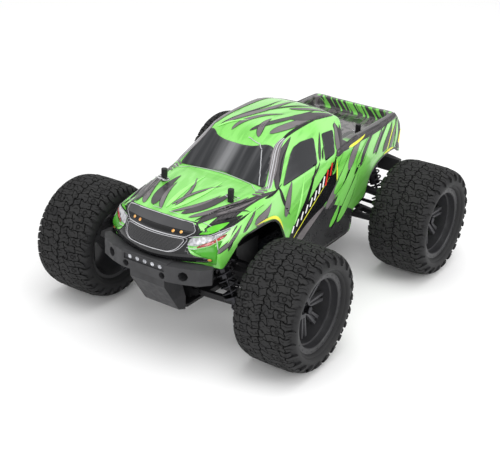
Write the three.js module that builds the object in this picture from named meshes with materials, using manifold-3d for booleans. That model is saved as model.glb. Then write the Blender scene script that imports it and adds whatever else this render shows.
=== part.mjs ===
// A tenth-scale radio-controlled monster truck, in millimetres, +Z up.
// The front faces -Y and the truck's left side faces +X.
// The origin is on the ground, midway between the axles.
import * as THREE from "three";
import { mergeVertices } from "three/addons/utils/BufferGeometryUtils.js";
import Module from "manifold-3d";

const wasm = await Module();
wasm.setup();

// Overall layout
const WHEELBASE = 260;
const HALF_TRACK = 125;
const TYRE_RADIUS = 62.5;
const TYRE_WIDTH = 71;
const HALF_BASE = WHEELBASE / 2;

// Clearances and the overrun that every cut uses
const SEAT_GAP = 0.3;
const RUNNING_GAP = 0.5;
const OVERRUN = 4;

// Points closer than this to a flat face are merged into it, and points this close to each other are one
const MERGE_TOLERANCE = 0.02;
const WELD_DISTANCE = 1e-4;

// Faces round small cylinders, bores and larger housings
const ROUND_SIDES = 8;
const BORE_SIDES = 6;
const PIN_SIDES = 6;
const HOUSING_SIDES = 10;
const BARREL_SIDES = 6;
const SHOCK_SIDES = 8;
const MOTOR_SIDES = 14;

// Tyre
const LUG_COUNT = 18;
const LUG_FACE_SHARE = 0.36;
const LUG_DEPTH = 3.2;
const TYRE_BEAD_WIDTH = 54;

// The wheels stand on the flat of a lug, so the axles are a little lower than the tyre's radius
const AXLE_Z = TYRE_RADIUS * Math.cos((Math.PI * LUG_FACE_SHARE) / LUG_COUNT);

// Rim
const RIM_RADIUS = 41.5;
const RIM_RING_WIDTH = 6.5;
const RIM_WALL = 2.6;
const RIM_STEP = 8;
const RIM_FACE_INSET = 7;
const RIM_STEP_INSET = 15;
const SPOKE_INSET = 24;
const SPOKE_THICKNESS = 4;
const SPOKE_COUNT = 8;
const SPOKE_BAR_WIDTH = 3;
const SPOKE_SLOT_WIDTH = 2.4;
const RIM_SIDES = 16;
const WHEEL_HUB_RADIUS = 11;
const SPOKE_ROOT = 1.4;
const WHEEL_NUT_RADIUS = 4.4;
const WHEEL_NUT_LENGTH = 5;
const WHEEL_HEX_RADIUS = 6.8;
const AXLE_RADIUS = 2.5;
const AXLE_BORE_RADIUS = 3.3;

// Hub carriers and steering knuckles, measured from the wheel's own middle
const KINGPIN_INSET = 28;
const KINGPIN_RADIUS = 1.6;
const KINGPIN_BORE_RADIUS = 2.3;
const CARRIER_RING_RADIUS = 12.5;
const CARRIER_HOLE_RADIUS = 8;
const CARRIER_WEB = 3.6;
const CARRIER_WEB_INSET = 9.2;
const CARRIER_LIP = 3.8;
const CARRIER_LIP_HALF_WIDTH = 6;
const KNUCKLE_RING_RADIUS = 11.2;
const KNUCKLE_INBOARD = 2.5;
const KNUCKLE_OUTBOARD = 4;
const JOINT_BORE_RADIUS = 5.5;
const BEARING_BOSS_RADIUS = 7.2;
const BEARING_BOSS_LENGTH = 5.5;
const STEERING_ARM_WIDTH = 5;
const STEERING_ARM_THICKNESS = 3;

// Suspension arms, with hinges along Y
const HINGE_PIN_RADIUS = 1.5;
const HINGE_BORE_RADIUS = 2.2;
const HINGE_BARREL_RADIUS = 3.6;
const LOWER_PIN_DROP = 15.5;
const UPPER_PIN_RISE = 14.5;
const LOWER_PIN_REACH = 14;
const UPPER_PIN_REACH = 15;
const HINGE_CASE_GAP = 0.9;
const ARM_THICKNESS = 6;
const ARM_SIDE_GAP = 0.4;
const ARM_OUTER_HALF_WIDTH = 6;
const ARM_EAR = 3;
const UPPER_ARM_THICKNESS = 5;

// Shock absorbers, one in front of the front axle and one behind the rear axle on each side
const SHOCK_TOP_X = 41;
const SHOCK_TOP_RISE = 52.6;
const SHOCK_FOOT_INSET = 13;
const SHOCK_LOWER_RISE = 1.5;
const SHOCK_EYE_RADIUS = 4.2;
const SHOCK_BOSS_RADIUS = 2.9;
const SHOCK_FOOT_BORE_RADIUS = 2.8;
const SHOCK_EYE_WIDTH = 6;
const SHOCK_BODY_RADIUS = 6;
const SHOCK_CAP_RADIUS = 7;
const SHOCK_CAP_START = 5.5;
const SHOCK_CAP_LENGTH = 7;
const SHOCK_BODY_END = 40;
const SHOCK_COLLAR_START = 15;
const SHOCK_COLLAR_THICKNESS = 3;
const SHOCK_COLLAR_RADIUS = 9.8;
const SHOCK_SHAFT_RADIUS = 1.6;
const SHOCK_BORE_RADIUS = 2.6;
const SHOCK_SHAFT_INSIDE = 11.5;
const SHOCK_SEAT_RISE = 9;
const SHOCK_SEAT_THICKNESS = 2.5;
const SHOCK_SEAT_RADIUS = 9.6;
const SPRING_RADIUS = 8.3;
const SPRING_WIRE_RADIUS = 0.9;
const SPRING_CURLS = 6;
const SPRING_STEPS = 8;
const SPRING_SIDES = 5;

// Gearboxes, at the middle of each axle
const GEARBOX_HALF_WIDTH = 14;
const GEARBOX_HALF_LENGTH = 19;
const GEARBOX_SUMP = 7.6;
const GEARBOX_CAP_RISE = 5.4;
const GEARBOX_CHAMFER = 6;
const DIFF_CASE_RADIUS = 14.4;
const OUTDRIVE_RADIUS = 6;
const OUTDRIVE_BORE_RADIUS = 4.4;
const OUTDRIVE_DEPTH = 9;
const OUTDRIVE_REACH = 8;
const DRIVESHAFT_HEAD_INSET = 4;
const DRIVESHAFT_RADIUS = 2.2;
const DRIVESHAFT_HEAD_RADIUS = 3.4;
const OUTDRIVE_RISE = 2;

// Shock towers and body posts
const TOWER_PLATE = 4;
const TOWER_OFFSET_Y = 8;
const TOWER_EDGE = 6;
const TOWER_FOOT_HALF_WIDTH = 13;
const FRONT_POST_INSET = 8;
const REAR_POST_INSET = 3;
const POST_RADIUS = 3.2;
const POST_RISE = 13;
const POST_COLLAR_RADIUS = 6;
const POST_COLLAR_THICKNESS = 2;
const POST_COLLAR_GAP = 1.6;
const CLIP_WIRE_RADIUS = 0.7;
const CLIP_HOLE_RADIUS = 1.3;
const CLIP_RISE = 3.6;
const CLIP_LENGTH = 13;
const CLIP_LOOP_RADIUS = 3.4;
const CLIP_LOOP_STEPS = 4;
const CLIP_LOOP_TURN = Math.PI * 1.15;
const CLIP_INNER_SHARE = 0.35;
const CLIP_OUTER_SHARE = 0.55;
const CLIP_RAIL_GAP = 0.85;

// Chassis tub
const CHASSIS_PLATE = 3;
const TUB_HALF_WIDTH = 50;
const TUB_END_GAP = 15;
const TUB_WALL = 2.4;
const TUB_WALL_HEIGHT = 13;
const TUB_END_HALF_WIDTH = 32;
const NOSE_HALF_WIDTH = 20;
const CHASSIS_OVERHANG = 36;

// Drive train
const GEAR_MODULE = 1.5;
const SPUR_TEETH = 20;
const PINION_TEETH = 10;
const TOOTH_ADDENDUM_SHARE = 0.8;
const TOOTH_DEDENDUM_SHARE = 1.1;
const TOOTH_ROOT_SHARE = 0.29;
const TOOTH_TIP_SHARE = 0.12;
const GEAR_WIDTH = 5;
const GEAR_Y = 44;
const SHAFT_RADIUS = 2.5;
const SHAFT_DROP = 0.4;
const SHAFT_CUP_RADIUS = 4.6;
const SHAFT_CUP_LENGTH = 9;
const MOTOR_RADIUS = 17.8;
const MOTOR_LENGTH = 48;
const MOTOR_SHAFT_RADIUS = 1.6;
const MOTOR_PLATE = 3;
const MOTOR_MOUNT_RISE = 12.5;

// Steering
const SERVO_LENGTH = 40;
const SERVO_WIDTH = 20;
const SERVO_HEIGHT = 37;
const SERVO_SHAFT_GAP = 3.4;
const SERVO_TUB_GAP = 3.6;
const SERVO_FLANGE = 7;
const SERVO_FLANGE_RISE = 26;
const SERVO_FLANGE_THICKNESS = 2.5;
const HORN_THICKNESS = 3;
const HORN_END_RADIUS = 5.6;
const HORN_HALF_WIDTH = 3.4;
const SPLINE_RADIUS = 2.4;
const SPLINE_BORE_RADIUS = 3.4;
const HORN_SLOT_RADIUS = 3.7;
const DRAG_LINK_WIDTH = 6;
const DRAG_LINK_GAP = 3;
const DRAG_LINK_THICKNESS = 3.5;
const BALL_STUD_RADIUS = 1.1;
const ROD_END_RADIUS = 4.6;
const ROD_END_BORE = 1.95;
const ROD_END_OUTER_BORE = 3.7;
const ROD_END_OUTER_RADIUS = 5.5;
const ROD_END_HEIGHT = 3;
const ROD_END_GAP = 2;
const TIE_ROD_RADIUS = 1.7;
const TIE_ROD_RISE = 10;

// Battery and electronics
const BATTERY_HEIGHT = 24;
const BATTERY_WALL_GAP = 0.4;
const BATTERY_GEAR_GAP = 3;
const BATTERY_SERVO_GAP = 2;
const BATTERY_REAR_GAP = 21;
const ELECTRONICS_HEIGHT = 20;
const ELECTRONICS_WALL_GAP = 2.6;
const ELECTRONICS_SHAFT_GAP = 6.4;
const ELECTRONICS_FRONT_GAP = 8;
const ELECTRONICS_MOTOR_GAP = 15.4;
const EDGE_BREAK = 2.5;

// Body shell
const BODY_OVERHANG = 76;
const BODY_HALF_WIDTH = 67;
const CAB_HEIGHT = 50;
const DECK_RISE = 23.3;
const SHELL_WALL = 1.6;
const BED_DROP = 1.5;
const BED_TAIL_DEPTH = 19;
const CAB_BACK_LEAD = 43.5;
const CAB_BACK_CORNER = 15;
const SHELL_FLOOR_Z = 34;
const BODY_STATIONS = 13;
const CAB_STATIONS = 8;

// The axles' places along the body, as a share of the way from its middle to either end
const AXLE_SHARE = 0.631;

// The heights of the deck that the cab stands on and of the lower edges at the nose and the tail,
// as shares of the roof's height
const DECK_SHARE = 0.74;
const NOSE_SILL_SHARE = 0.551;
const TAIL_SILL_SHARE = 0.54;

// Bumpers
const BUMPER_SIDE_INSET = 1;
const BUMPER_GAP = 2.1;
const BUMPER_HEIGHT = 17;
const BUMPER_DEPTH = 11;
const LIGHT_BAR_HALF_WIDTH = 24.5;
const LIGHT_BAR_RECESS = 1.6;
const LIGHT_BAR_HEIGHT = 8;
const LIGHT_BAR_DROP = 3.5;
const TOW_HOLE_RADIUS = 3.6;
const TOW_HOLE_X = 22;
const TOW_HOLE_DEPTH = 6.6;
const WING_HOLE_RADIUS = 5;
const WING_HOLE_X = 45;
const WING_HOLE_INNER_X = 41;
const WING_HOLE_REACH = 17.6;
const REAR_BUMPER_SIDE_REACH = 1;
const REAR_BUMPER_GAP = 5;
const REAR_BUMPER_HEIGHT = 17;
const REAR_BUMPER_INSET = 7;
const REAR_BUMPER_DEPTH = 13;
const SKID_HALF_WIDTH = 21;

// Places that follow from the sizes above, across the truck and up from the axles
const LOWER_HINGE_X = GEARBOX_HALF_WIDTH + EDGE_BREAK + HINGE_BARREL_RADIUS + HINGE_CASE_GAP;
const KINGPIN_X = HALF_TRACK - KINGPIN_INSET;
const LOWER_OUTER = { x: KINGPIN_X - LOWER_PIN_REACH, z: AXLE_Z - LOWER_PIN_DROP };
const UPPER_OUTER = { x: KINGPIN_X - UPPER_PIN_REACH, z: AXLE_Z + UPPER_PIN_RISE };
const LOWER_INNER = { x: LOWER_HINGE_X, z: LOWER_OUTER.z + OUTDRIVE_RISE };
const ARM_SPAN = { x: LOWER_OUTER.x - LOWER_INNER.x, z: LOWER_OUTER.z - LOWER_INNER.z };
const UPPER_INNER = { x: UPPER_OUTER.x - ARM_SPAN.x, z: UPPER_OUTER.z - ARM_SPAN.z };
const ARM_INNER_HALF_WIDTH = GEARBOX_HALF_LENGTH - ARM_EAR - ARM_SIDE_GAP;
const CARRIER_WEB_X = KINGPIN_X - CARRIER_WEB_INSET;
const OUTDRIVE_Z = AXLE_Z + OUTDRIVE_RISE;
const OUTDRIVE_END_X = LOWER_HINGE_X + OUTDRIVE_REACH;
const DRIVESHAFT_INNER_X = OUTDRIVE_END_X - DRIVESHAFT_HEAD_INSET;
const GEARBOX_BOTTOM_Z = LOWER_INNER.z - GEARBOX_SUMP;
const GEARBOX_TOP_Z = UPPER_INNER.z + GEARBOX_CAP_RISE;
const CHASSIS_TOP_Z = GEARBOX_BOTTOM_Z - SEAT_GAP;
const GROUND_CLEARANCE = CHASSIS_TOP_Z - CHASSIS_PLATE;
const SHAFT_Z = AXLE_Z - SHAFT_DROP;
const RIM_STEP_RADIUS = RIM_RADIUS - RIM_STEP;
const SPOKE_START_RADIUS = WHEEL_HUB_RADIUS - SPOKE_ROOT;
const SHOCK_OFFSET_Y = TOWER_OFFSET_Y + TOWER_PLATE + SHOCK_CAP_RADIUS;
const SHOCK_TOP_Z = AXLE_Z + SHOCK_TOP_RISE;
const SHOCK_TOP = { x: SHOCK_TOP_X, z: SHOCK_TOP_Z };
const SHOCK_FOOT = {
  x: LOWER_OUTER.x - SHOCK_FOOT_INSET,
  z: LOWER_INNER.z + SHOCK_LOWER_RISE,
};
const SHOCK_LENGTH = Math.hypot(SHOCK_FOOT.x - SHOCK_TOP.x, SHOCK_TOP.z - SHOCK_FOOT.z);
const SHOCK_LEAN = Math.atan2(SHOCK_FOOT.x - SHOCK_TOP.x, SHOCK_TOP.z - SHOCK_FOOT.z);

// The body and bumpers, which stand on the shock towers and round the wheels
const DECK_Z = SHOCK_TOP_Z + SHOCK_EYE_RADIUS + DECK_RISE;
const ROOF_Z = DECK_Z + CAB_HEIGHT;
const BED_FLOOR_Z = DECK_Z - BED_DROP;
const BODY_HALF_LENGTH = HALF_BASE + BODY_OVERHANG;
const BED_TAIL_Y = BODY_HALF_LENGTH - BED_TAIL_DEPTH;
const CAB_BACK_Y = HALF_BASE - CAB_BACK_LEAD;
const POST_X = SHOCK_TOP_X;
const BED_HALF_WIDTH = POST_X + CLIP_LENGTH * CLIP_OUTER_SHARE + CLIP_RAIL_GAP;
const FRONT_POST_Y = HALF_BASE - FRONT_POST_INSET;
const REAR_POST_Y = HALF_BASE - REAR_POST_INSET;
const TOWER_HALF_WIDTH = SHOCK_TOP_X + TOWER_EDGE;
const BUMPER_FRONT_Y = BODY_HALF_LENGTH;
const BUMPER_HALF_WIDTH = BODY_HALF_WIDTH - BUMPER_SIDE_INSET;
const BUMPER_TOP_Z = bodyZ(NOSE_SILL_SHARE) - BUMPER_GAP;
const BUMPER_BOTTOM_Z = BUMPER_TOP_Z - BUMPER_HEIGHT;
const LIGHT_BAR_Z = BUMPER_TOP_Z - LIGHT_BAR_DROP;
const REAR_BUMPER_Y = BODY_HALF_LENGTH - REAR_BUMPER_INSET;
const REAR_BUMPER_HALF_WIDTH = BODY_HALF_WIDTH + REAR_BUMPER_SIDE_REACH;
const REAR_BUMPER_TOP_Z = bodyZ(TAIL_SILL_SHARE) - REAR_BUMPER_GAP;
const REAR_BUMPER_BOTTOM_Z = REAR_BUMPER_TOP_Z - REAR_BUMPER_HEIGHT;

// The tub between the gearboxes, and what lies in it
const TUB_HALF_LENGTH = HALF_BASE - GEARBOX_HALF_LENGTH - TUB_END_GAP;
const TUB_CORNER = TUB_HALF_WIDTH - TUB_END_HALF_WIDTH;
const CHASSIS_HALF_LENGTH = HALF_BASE + CHASSIS_OVERHANG;
const GEAR_DISTANCE = (GEAR_MODULE * (SPUR_TEETH + PINION_TEETH)) / 2;
const SPUR_TIP_RADIUS = GEAR_MODULE * (SPUR_TEETH / 2 + TOOTH_ADDENDUM_SHARE);
const MOTOR_X = -GEAR_DISTANCE;
const MOTOR_FRONT_Y = GEAR_Y - GEAR_WIDTH / 2 - MOTOR_PLATE - 2 * SEAT_GAP - RUNNING_GAP;
const STEERING_ARM_REACH = GEARBOX_HALF_LENGTH + DRAG_LINK_GAP + DRAG_LINK_WIDTH / 2;
const TIE_ROD_OUTER = { x: KINGPIN_X, z: AXLE_Z + TIE_ROD_RISE };
const TIE_ROD_INNER = { x: TIE_ROD_OUTER.x - ARM_SPAN.x, z: TIE_ROD_OUTER.z - ARM_SPAN.z };
const DRAG_LINK_Y = -HALF_BASE + STEERING_ARM_REACH;
const DRAG_LINK_TOP_Z = TIE_ROD_INNER.z - ROD_END_HEIGHT / 2 - ROD_END_GAP;
const HORN_Y = TUB_WALL + SERVO_TUB_GAP + SERVO_WIDTH / 2 - TUB_HALF_LENGTH;
const SERVO_X = SHAFT_CUP_RADIUS + SERVO_SHAFT_GAP + SERVO_WIDTH / 2;
const SERVO_BOTTOM_Z = CHASSIS_TOP_Z + SEAT_GAP;
const SERVO_TOP_Z = SERVO_BOTTOM_Z + SERVO_HEIGHT;
const HORN_TOP_Z = SERVO_TOP_Z + SEAT_GAP + HORN_THICKNESS;

// Materials, with colours from the photographed truck
function finish(colour, roughness, metalness) {
  return new THREE.MeshStandardMaterial({ color: colour, roughness, metalness });
}
const paintedShell = () => finish(0x6fd84a, 0.18, 0);
const darkPlastic = () => finish(0x222325, 0.55, 0);
const greyPlastic = () => finish(0x3a3b3e, 0.5, 0);
const rubber = () => finish(0x2b2b2c, 0.85, 0);
const steel = () => finish(0xb4b7ba, 0.3, 1);
const blackSteel = () => finish(0x1c1d1f, 0.35, 0.8);
const blueWrap = () => finish(0x24407a, 0.45, 0);

const AXES = {
  x: new THREE.Vector3(1, 0, 0),
  y: new THREE.Vector3(0, 1, 0),
  z: new THREE.Vector3(0, 0, 1),
};

// A closed geometry as a solid for joining and cutting, with its faces turned outwards
function solid(geometry) {
  const bare = geometry.index ? geometry.toNonIndexed() : geometry.clone();
  for (const name of Object.keys(bare.attributes)) {
    if (name !== "position") bare.deleteAttribute(name);
  }
  const merged = mergeVertices(bare, WELD_DISTANCE);
  const triVerts = new Uint32Array(merged.index.array);
  const vertProperties = new Float32Array(merged.attributes.position.array);
  const made = new wasm.Manifold(new wasm.Mesh({ numProp: 3, vertProperties, triVerts }));
  if (made.volume() > 0) return made;
  for (let i = 0; i < triVerts.length; i += 3) {
    [triVerts[i + 1], triVerts[i + 2]] = [triVerts[i + 2], triVerts[i + 1]];
  }
  return new wasm.Manifold(new wasm.Mesh({ numProp: 3, vertProperties, triVerts }));
}

function join(...solids) {
  return solids.reduce((sum, next) => sum.add(next));
}

function cut(body, ...tools) {
  return tools.reduce((rest, tool) => rest.subtract(tool), body);
}

// A solid back as three.js geometry, with flat faces
function geometryOf(body) {
  const mesh = body.getMesh();
  const positions = new Float32Array(mesh.numVert * 3);
  for (let i = 0; i < mesh.numVert; i++) {
    positions.set(mesh.vertProperties.subarray(i * mesh.numProp, i * mesh.numProp + 3), i * 3);
  }
  const indexed = new THREE.BufferGeometry();
  indexed.setAttribute("position", new THREE.BufferAttribute(positions, 3));
  indexed.setIndex(new THREE.BufferAttribute(mesh.triVerts, 1));
  const flat = indexed.toNonIndexed();
  flat.computeVertexNormals();
  return flat;
}

// The points of an outline in anticlockwise order
function anticlockwise(outline) {
  const points = outline.map(([a, b]) => new THREE.Vector2(a, b));
  return THREE.ShapeUtils.isClockWise(points) ? points.reverse() : points;
}

// A straight extrusion along one axis of an outline in the other two, taken in the order x, y, z
function prism(axis, outline, from, to, holes = []) {
  const shape = new THREE.Shape(anticlockwise(outline));
  for (const hole of holes) shape.holes.push(new THREE.Path(anticlockwise(hole)));
  const geometry = new THREE.ExtrudeGeometry(shape, {
    depth: to - from,
    bevelEnabled: false,
    steps: 1,
  });
  const basis = new THREE.Matrix4();
  if (axis === "x") basis.makeBasis(AXES.y, AXES.z, AXES.x).setPosition(from, 0, 0);
  if (axis === "y") basis.makeBasis(AXES.x, AXES.z, AXES.y.clone().negate()).setPosition(0, to, 0);
  if (axis === "z") basis.setPosition(0, 0, from);
  return solid(geometry.applyMatrix4(basis));
}

// The outline of a regular polygon, for round bores, bosses and holes in an extrusion
function ringOutline(centreA, centreB, radius, sides, turn = 0) {
  const points = [];
  for (let i = 0; i < sides; i++) {
    const angle = turn + (i / sides) * 2 * Math.PI;
    points.push([centreA + radius * Math.cos(angle), centreB + radius * Math.sin(angle)]);
  }
  return points;
}

function rectangle(left, right, low, high) {
  return [[left, low], [right, low], [right, high], [left, high]];
}

// Half an outline and its mirror image, about the line where the first value is 0
function mirroredFirst(half) {
  return [...half, ...half.map(([a, b]) => [-a, b]).reverse()];
}

// Half an outline and its mirror image, about the line where the second value is 0
function mirroredSecond(half) {
  return [...half, ...half.map(([a, b]) => [a, -b]).reverse()];
}

// A rectangle with its corners cut off at 45 degrees
function chamferedRectangle(left, right, low, high, chamfer) {
  return [
    [left + chamfer, low], [right - chamfer, low], [right, low + chamfer], [right, high - chamfer],
    [right - chamfer, high], [left + chamfer, high], [left, high - chamfer], [left, low + chamfer],
  ];
}

// A bar between two points with round cross-section
function rod(start, end, radius, sides) {
  const from = new THREE.Vector3(...start);
  const to = new THREE.Vector3(...end);
  const length = from.distanceTo(to);
  const geometry = new THREE.CylinderGeometry(radius, radius, length, sides);
  const direction = to.clone().sub(from).normalize();
  const turn = new THREE.Quaternion().setFromUnitVectors(new THREE.Vector3(0, 1, 0), direction);
  geometry.applyQuaternion(turn);
  const middle = from.add(to).multiplyScalar(0.5);
  geometry.translate(middle.x, middle.y, middle.z);
  return solid(geometry);
}

// Bars along one axis
function rodX(z, from, to, radius, sides) {
  return rod([from, 0, z], [to, 0, z], radius, sides);
}

function rodY({ x, z }, from, to, radius, sides) {
  return rod([x, from, z], [x, to, z], radius, sides);
}

function rodZ({ x, y }, from, to, radius, sides) {
  return rod([x, y, from], [x, y, to], radius, sides);
}

// A profile of [along, radius] pairs turned about the X axis
// It starts and ends on the axis, or closes on itself
function turned(profile, sides) {
  const points = profile.map(([along, radius]) => new THREE.Vector2(radius, along));
  const geometry = new THREE.LatheGeometry(points, sides);
  geometry.rotateZ(-Math.PI / 2);
  return solid(geometry);
}

// A profile of [distance from the start, radius] pairs turned about the line from start to end
function turnedBetween(start, end, profile, sides) {
  const direction = new THREE.Vector3(...end).sub(new THREE.Vector3(...start)).normalize();
  const turn = new THREE.Quaternion().setFromUnitVectors(AXES.x, direction);
  const geometry = geometryOf(turned(profile, sides));
  return solid(geometry.applyQuaternion(turn).translate(...start));
}

// A closed skin over rings of equally many points, with a flat fan at both ends
function loft(rings) {
  const count = rings[0].length;
  const positions = rings.flat().flatMap((p) => [p.x, p.y, p.z]);
  const indices = [];
  for (let i = 0; i + 1 < rings.length; i++) {
    for (let j = 0; j < count; j++) {
      const next = (j + 1) % count;
      const a = i * count + j;
      const b = i * count + next;
      const c = (i + 1) * count + next;
      const d = (i + 1) * count + j;
      indices.push(a, b, c, a, c, d);
    }
  }
  const ends = [[rings[0], 0, false], [rings.at(-1), (rings.length - 1) * count, true]];
  for (const [ring, start, forward] of ends) {
    const centre = ring.reduce((sum, p) => sum.add(p), new THREE.Vector3()).divideScalar(count);
    const middle = positions.length / 3;
    positions.push(centre.x, centre.y, centre.z);
    for (let j = 0; j < count; j++) {
      const a = start + j;
      const b = start + ((j + 1) % count);
      indices.push(...(forward ? [a, b, middle] : [b, a, middle]));
    }
  }
  const geometry = new THREE.BufferGeometry();
  geometry.setAttribute("position", new THREE.Float32BufferAttribute(positions, 3));
  geometry.setIndex(indices);
  return solid(geometry);
}

// A tube along a list of points, each section square to the path
function tube(path, radius, sides) {
  const rings = [];
  let up = new THREE.Vector3(0, 0, 1);
  path.forEach((point, i) => {
    const before = path[Math.max(i - 1, 0)];
    const after = path[Math.min(i + 1, path.length - 1)];
    const forward = after.clone().sub(before).normalize();
    const side = new THREE.Vector3().crossVectors(forward, up).normalize();
    up = new THREE.Vector3().crossVectors(side, forward).normalize();
    const ring = [];
    for (let k = 0; k < sides; k++) {
      const angle = (k / sides) * 2 * Math.PI;
      ring.push(
        point.clone()
          .addScaledVector(side, radius * Math.cos(angle))
          .addScaledVector(up, radius * Math.sin(angle)),
      );
    }
    rings.push(ring);
  });
  return loft(rings);
}

// Smooth values between the rows of a table whose first column rises from 0 to 1
function smoothRow(table, share) {
  let i = 0;
  while (i < table.length - 2 && table[i + 1][0] < share) i++;
  const [p1, p2] = [table[i], table[i + 1]];
  const p0 = table[Math.max(i - 1, 0)];
  const p3 = table[Math.min(i + 2, table.length - 1)];
  const t = Math.min(Math.max((share - p1[0]) / (p2[0] - p1[0]), 0), 1);
  return p1.map((value, k) => {
    const span = p2[0] - p1[0];
    const inSlope = p2[0] > p0[0] ? ((p2[k] - p0[k]) / (p2[0] - p0[0])) * span : 0;
    const outSlope = p3[0] > p1[0] ? ((p3[k] - p1[k]) / (p3[0] - p1[0])) * span : 0;
    const t2 = t * t;
    const t3 = t2 * t;
    return (2 * t3 - 3 * t2 + 1) * value + (t3 - 2 * t2 + t) * inSlope
      + (3 * t2 - 2 * t3) * p2[k] + (t3 - t2) * outSlope;
  });
}

const truck = new THREE.Group();

function addPiece(name, body, material, parent = truck) {
  const tidy = body.asOriginal().simplify(MERGE_TOLERANCE);
  const mesh = new THREE.Mesh(geometryOf(tidy), material);
  mesh.name = name;
  parent.add(mesh);
  return mesh;
}

// Body shell
// Rows: share along the body, heights of crown, edge, shoulder and waist as shares of the roof height,
// then widths of edge, shoulder, waist and sill as shares of the half width
const lowerBodyShares = [
  [0.0, 0.696, 0.691, 0.632, 0.551, 0.507, 0.81, 0.915, 0.925],
  [0.063, 0.732, 0.73, 0.668, 0.582, 0.567, 0.856, 0.96, 0.965],
  [0.136, 0.748, 0.743, 0.699, 0.634, 0.604, 0.896, 0.993, 0.97],
  [0.209, 0.761, 0.756, 0.719, 0.644, 0.657, 0.925, 1.0, 0.98],
  [0.269, 0.769, 0.766, 0.733, 0.64, 0.731, 0.945, 0.993, 0.968],
  [0.31, 0.772, 0.769, 0.743, 0.63, 0.845, 0.95, 0.985, 0.955],
  [0.403, 0.77, 0.772, 0.759, 0.613, 0.866, 0.933, 0.978, 0.948],
  [0.55, 0.775, 0.78, 0.772, 0.613, 0.82, 0.925, 0.965, 0.943],
  [0.631, 0.78, 0.785, 0.777, 0.613, 0.776, 0.915, 0.957, 0.94],
  [0.743, 0.784, 0.789, 0.779, 0.62, 0.77, 0.905, 0.95, 0.933],
  [0.852, 0.788, 0.792, 0.782, 0.634, 0.755, 0.895, 0.94, 0.925],
  [0.937, 0.793, 0.797, 0.787, 0.66, 0.716, 0.858, 0.91, 0.903],
  [1.0, 0.797, 0.8, 0.79, 0.675, 0.657, 0.8, 0.873, 0.866],
];

// Rows, in the same shares: along the body, heights of crown and edge, widths of edge and belt, belt height
const cabShares = [
  [0.293, 0.741, 0.737, 0.87, 0.94, 0.732],
  [0.306, 0.777, 0.77, 0.858, 0.937, 0.742],
  [0.35, 0.864, 0.856, 0.75, 0.93, 0.752],
  [0.393, 0.944, 0.934, 0.648, 0.925, 0.758],
  [0.425, 0.978, 0.961, 0.642, 0.922, 0.762],
  [0.475, 0.995, 0.973, 0.652, 0.92, 0.768],
  [0.55, 1.0, 0.977, 0.664, 0.915, 0.773],
  [0.62, 0.991, 0.965, 0.668, 0.91, 0.778],
  [0.665, 0.962, 0.93, 0.672, 0.905, 0.78],
  [0.709, 0.91, 0.875, 0.664, 0.9, 0.78],
  [0.74, 0.868, 0.83, 0.657, 0.895, 0.78],
];

// Rows: height as a share of the roof height, then nose and tail as shares of half the length,
// and how far each is drawn back at the sides as shares of the half width
const endShares = [
  [0.0, 0.956, 0.995, 0.49, 0.1],
  [0.514, 0.956, 0.995, 0.49, 0.1],
  [0.54, 0.963, 1.0, 0.49, 0.1],
  [0.59, 0.976, 0.984, 0.48, 0.1],
  [0.665, 0.922, 0.99, 0.4, 0.11],
  [0.7, 0.892, 0.993, 0.27, 0.11],
  [0.727, 0.871, 0.99, 0.09, 0.1],
  [0.745, 0.862, 0.974, 0.06, 0.07],
  [0.79, 0.85, 0.94, 0.04, 0.04],
  [1.1, 0.83, 0.93, 0.04, 0.04],
];

// Where the roof's and the hood's middle point lies, as a share of the way out to the edge
const CROWN_MIDDLE_SHARE = 0.55;

// The points across a plan curve, as shares of its half width
const acrossShares = [-1, -0.8, -0.5, 0, 0.5, 0.8, 1];


// Between the axles the body follows the wheelbase, and beyond them its overhang
function bodyY(share) {
  const along = Math.abs(2 * share - 1);
  const beyond = (along - AXLE_SHARE) / (1 - AXLE_SHARE);
  const reach = beyond > 0 ? HALF_BASE + beyond * BODY_OVERHANG : (along / AXLE_SHARE) * HALF_BASE;
  return share < 0.5 ? -reach : reach;
}

// Up to the deck the body follows the shock towers that carry it, and above it the cab's height
function bodyZ(share) {
  if (share < DECK_SHARE) return (share / DECK_SHARE) * DECK_Z;
  return DECK_Z + ((share - DECK_SHARE) / (1 - DECK_SHARE)) * CAB_HEIGHT;
}

function closedSection(half, y) {
  const left = half.map(([x, z]) => new THREE.Vector3(-x, y, z)).reverse();
  const right = half.map(([x, z]) => new THREE.Vector3(x, y, z));
  return [...right, ...left.slice(1)];
}

// The section of the hood, fenders, doors and bed rails, from the crown out and down to below the sill
function lowerSection(share, inset) {
  const row = smoothRow(lowerBodyShares, share);
  const [crown, edge, shoulder, waist] = row.slice(1, 5).map((s) => bodyZ(s) - inset);
  const [edgeX, shoulderX, waistX, sillX] = row.slice(5).map((s) => s * BODY_HALF_WIDTH - inset);
  const floor = SHELL_FLOOR_Z - inset;
  const hoodZ = crown - (crown - edge) * CROWN_MIDDLE_SHARE ** 2;
  const half = [
    [0, crown], [edgeX * CROWN_MIDDLE_SHARE, hoodZ], [edgeX, edge],
    [(edgeX + shoulderX) * 0.5 + SHELL_WALL / 2, (edge + shoulder) * 0.5 + SHELL_WALL / 2],
    [shoulderX, shoulder], [waistX, waist], [sillX, floor],
  ];
  return closedSection(half, bodyY(share));
}

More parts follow.
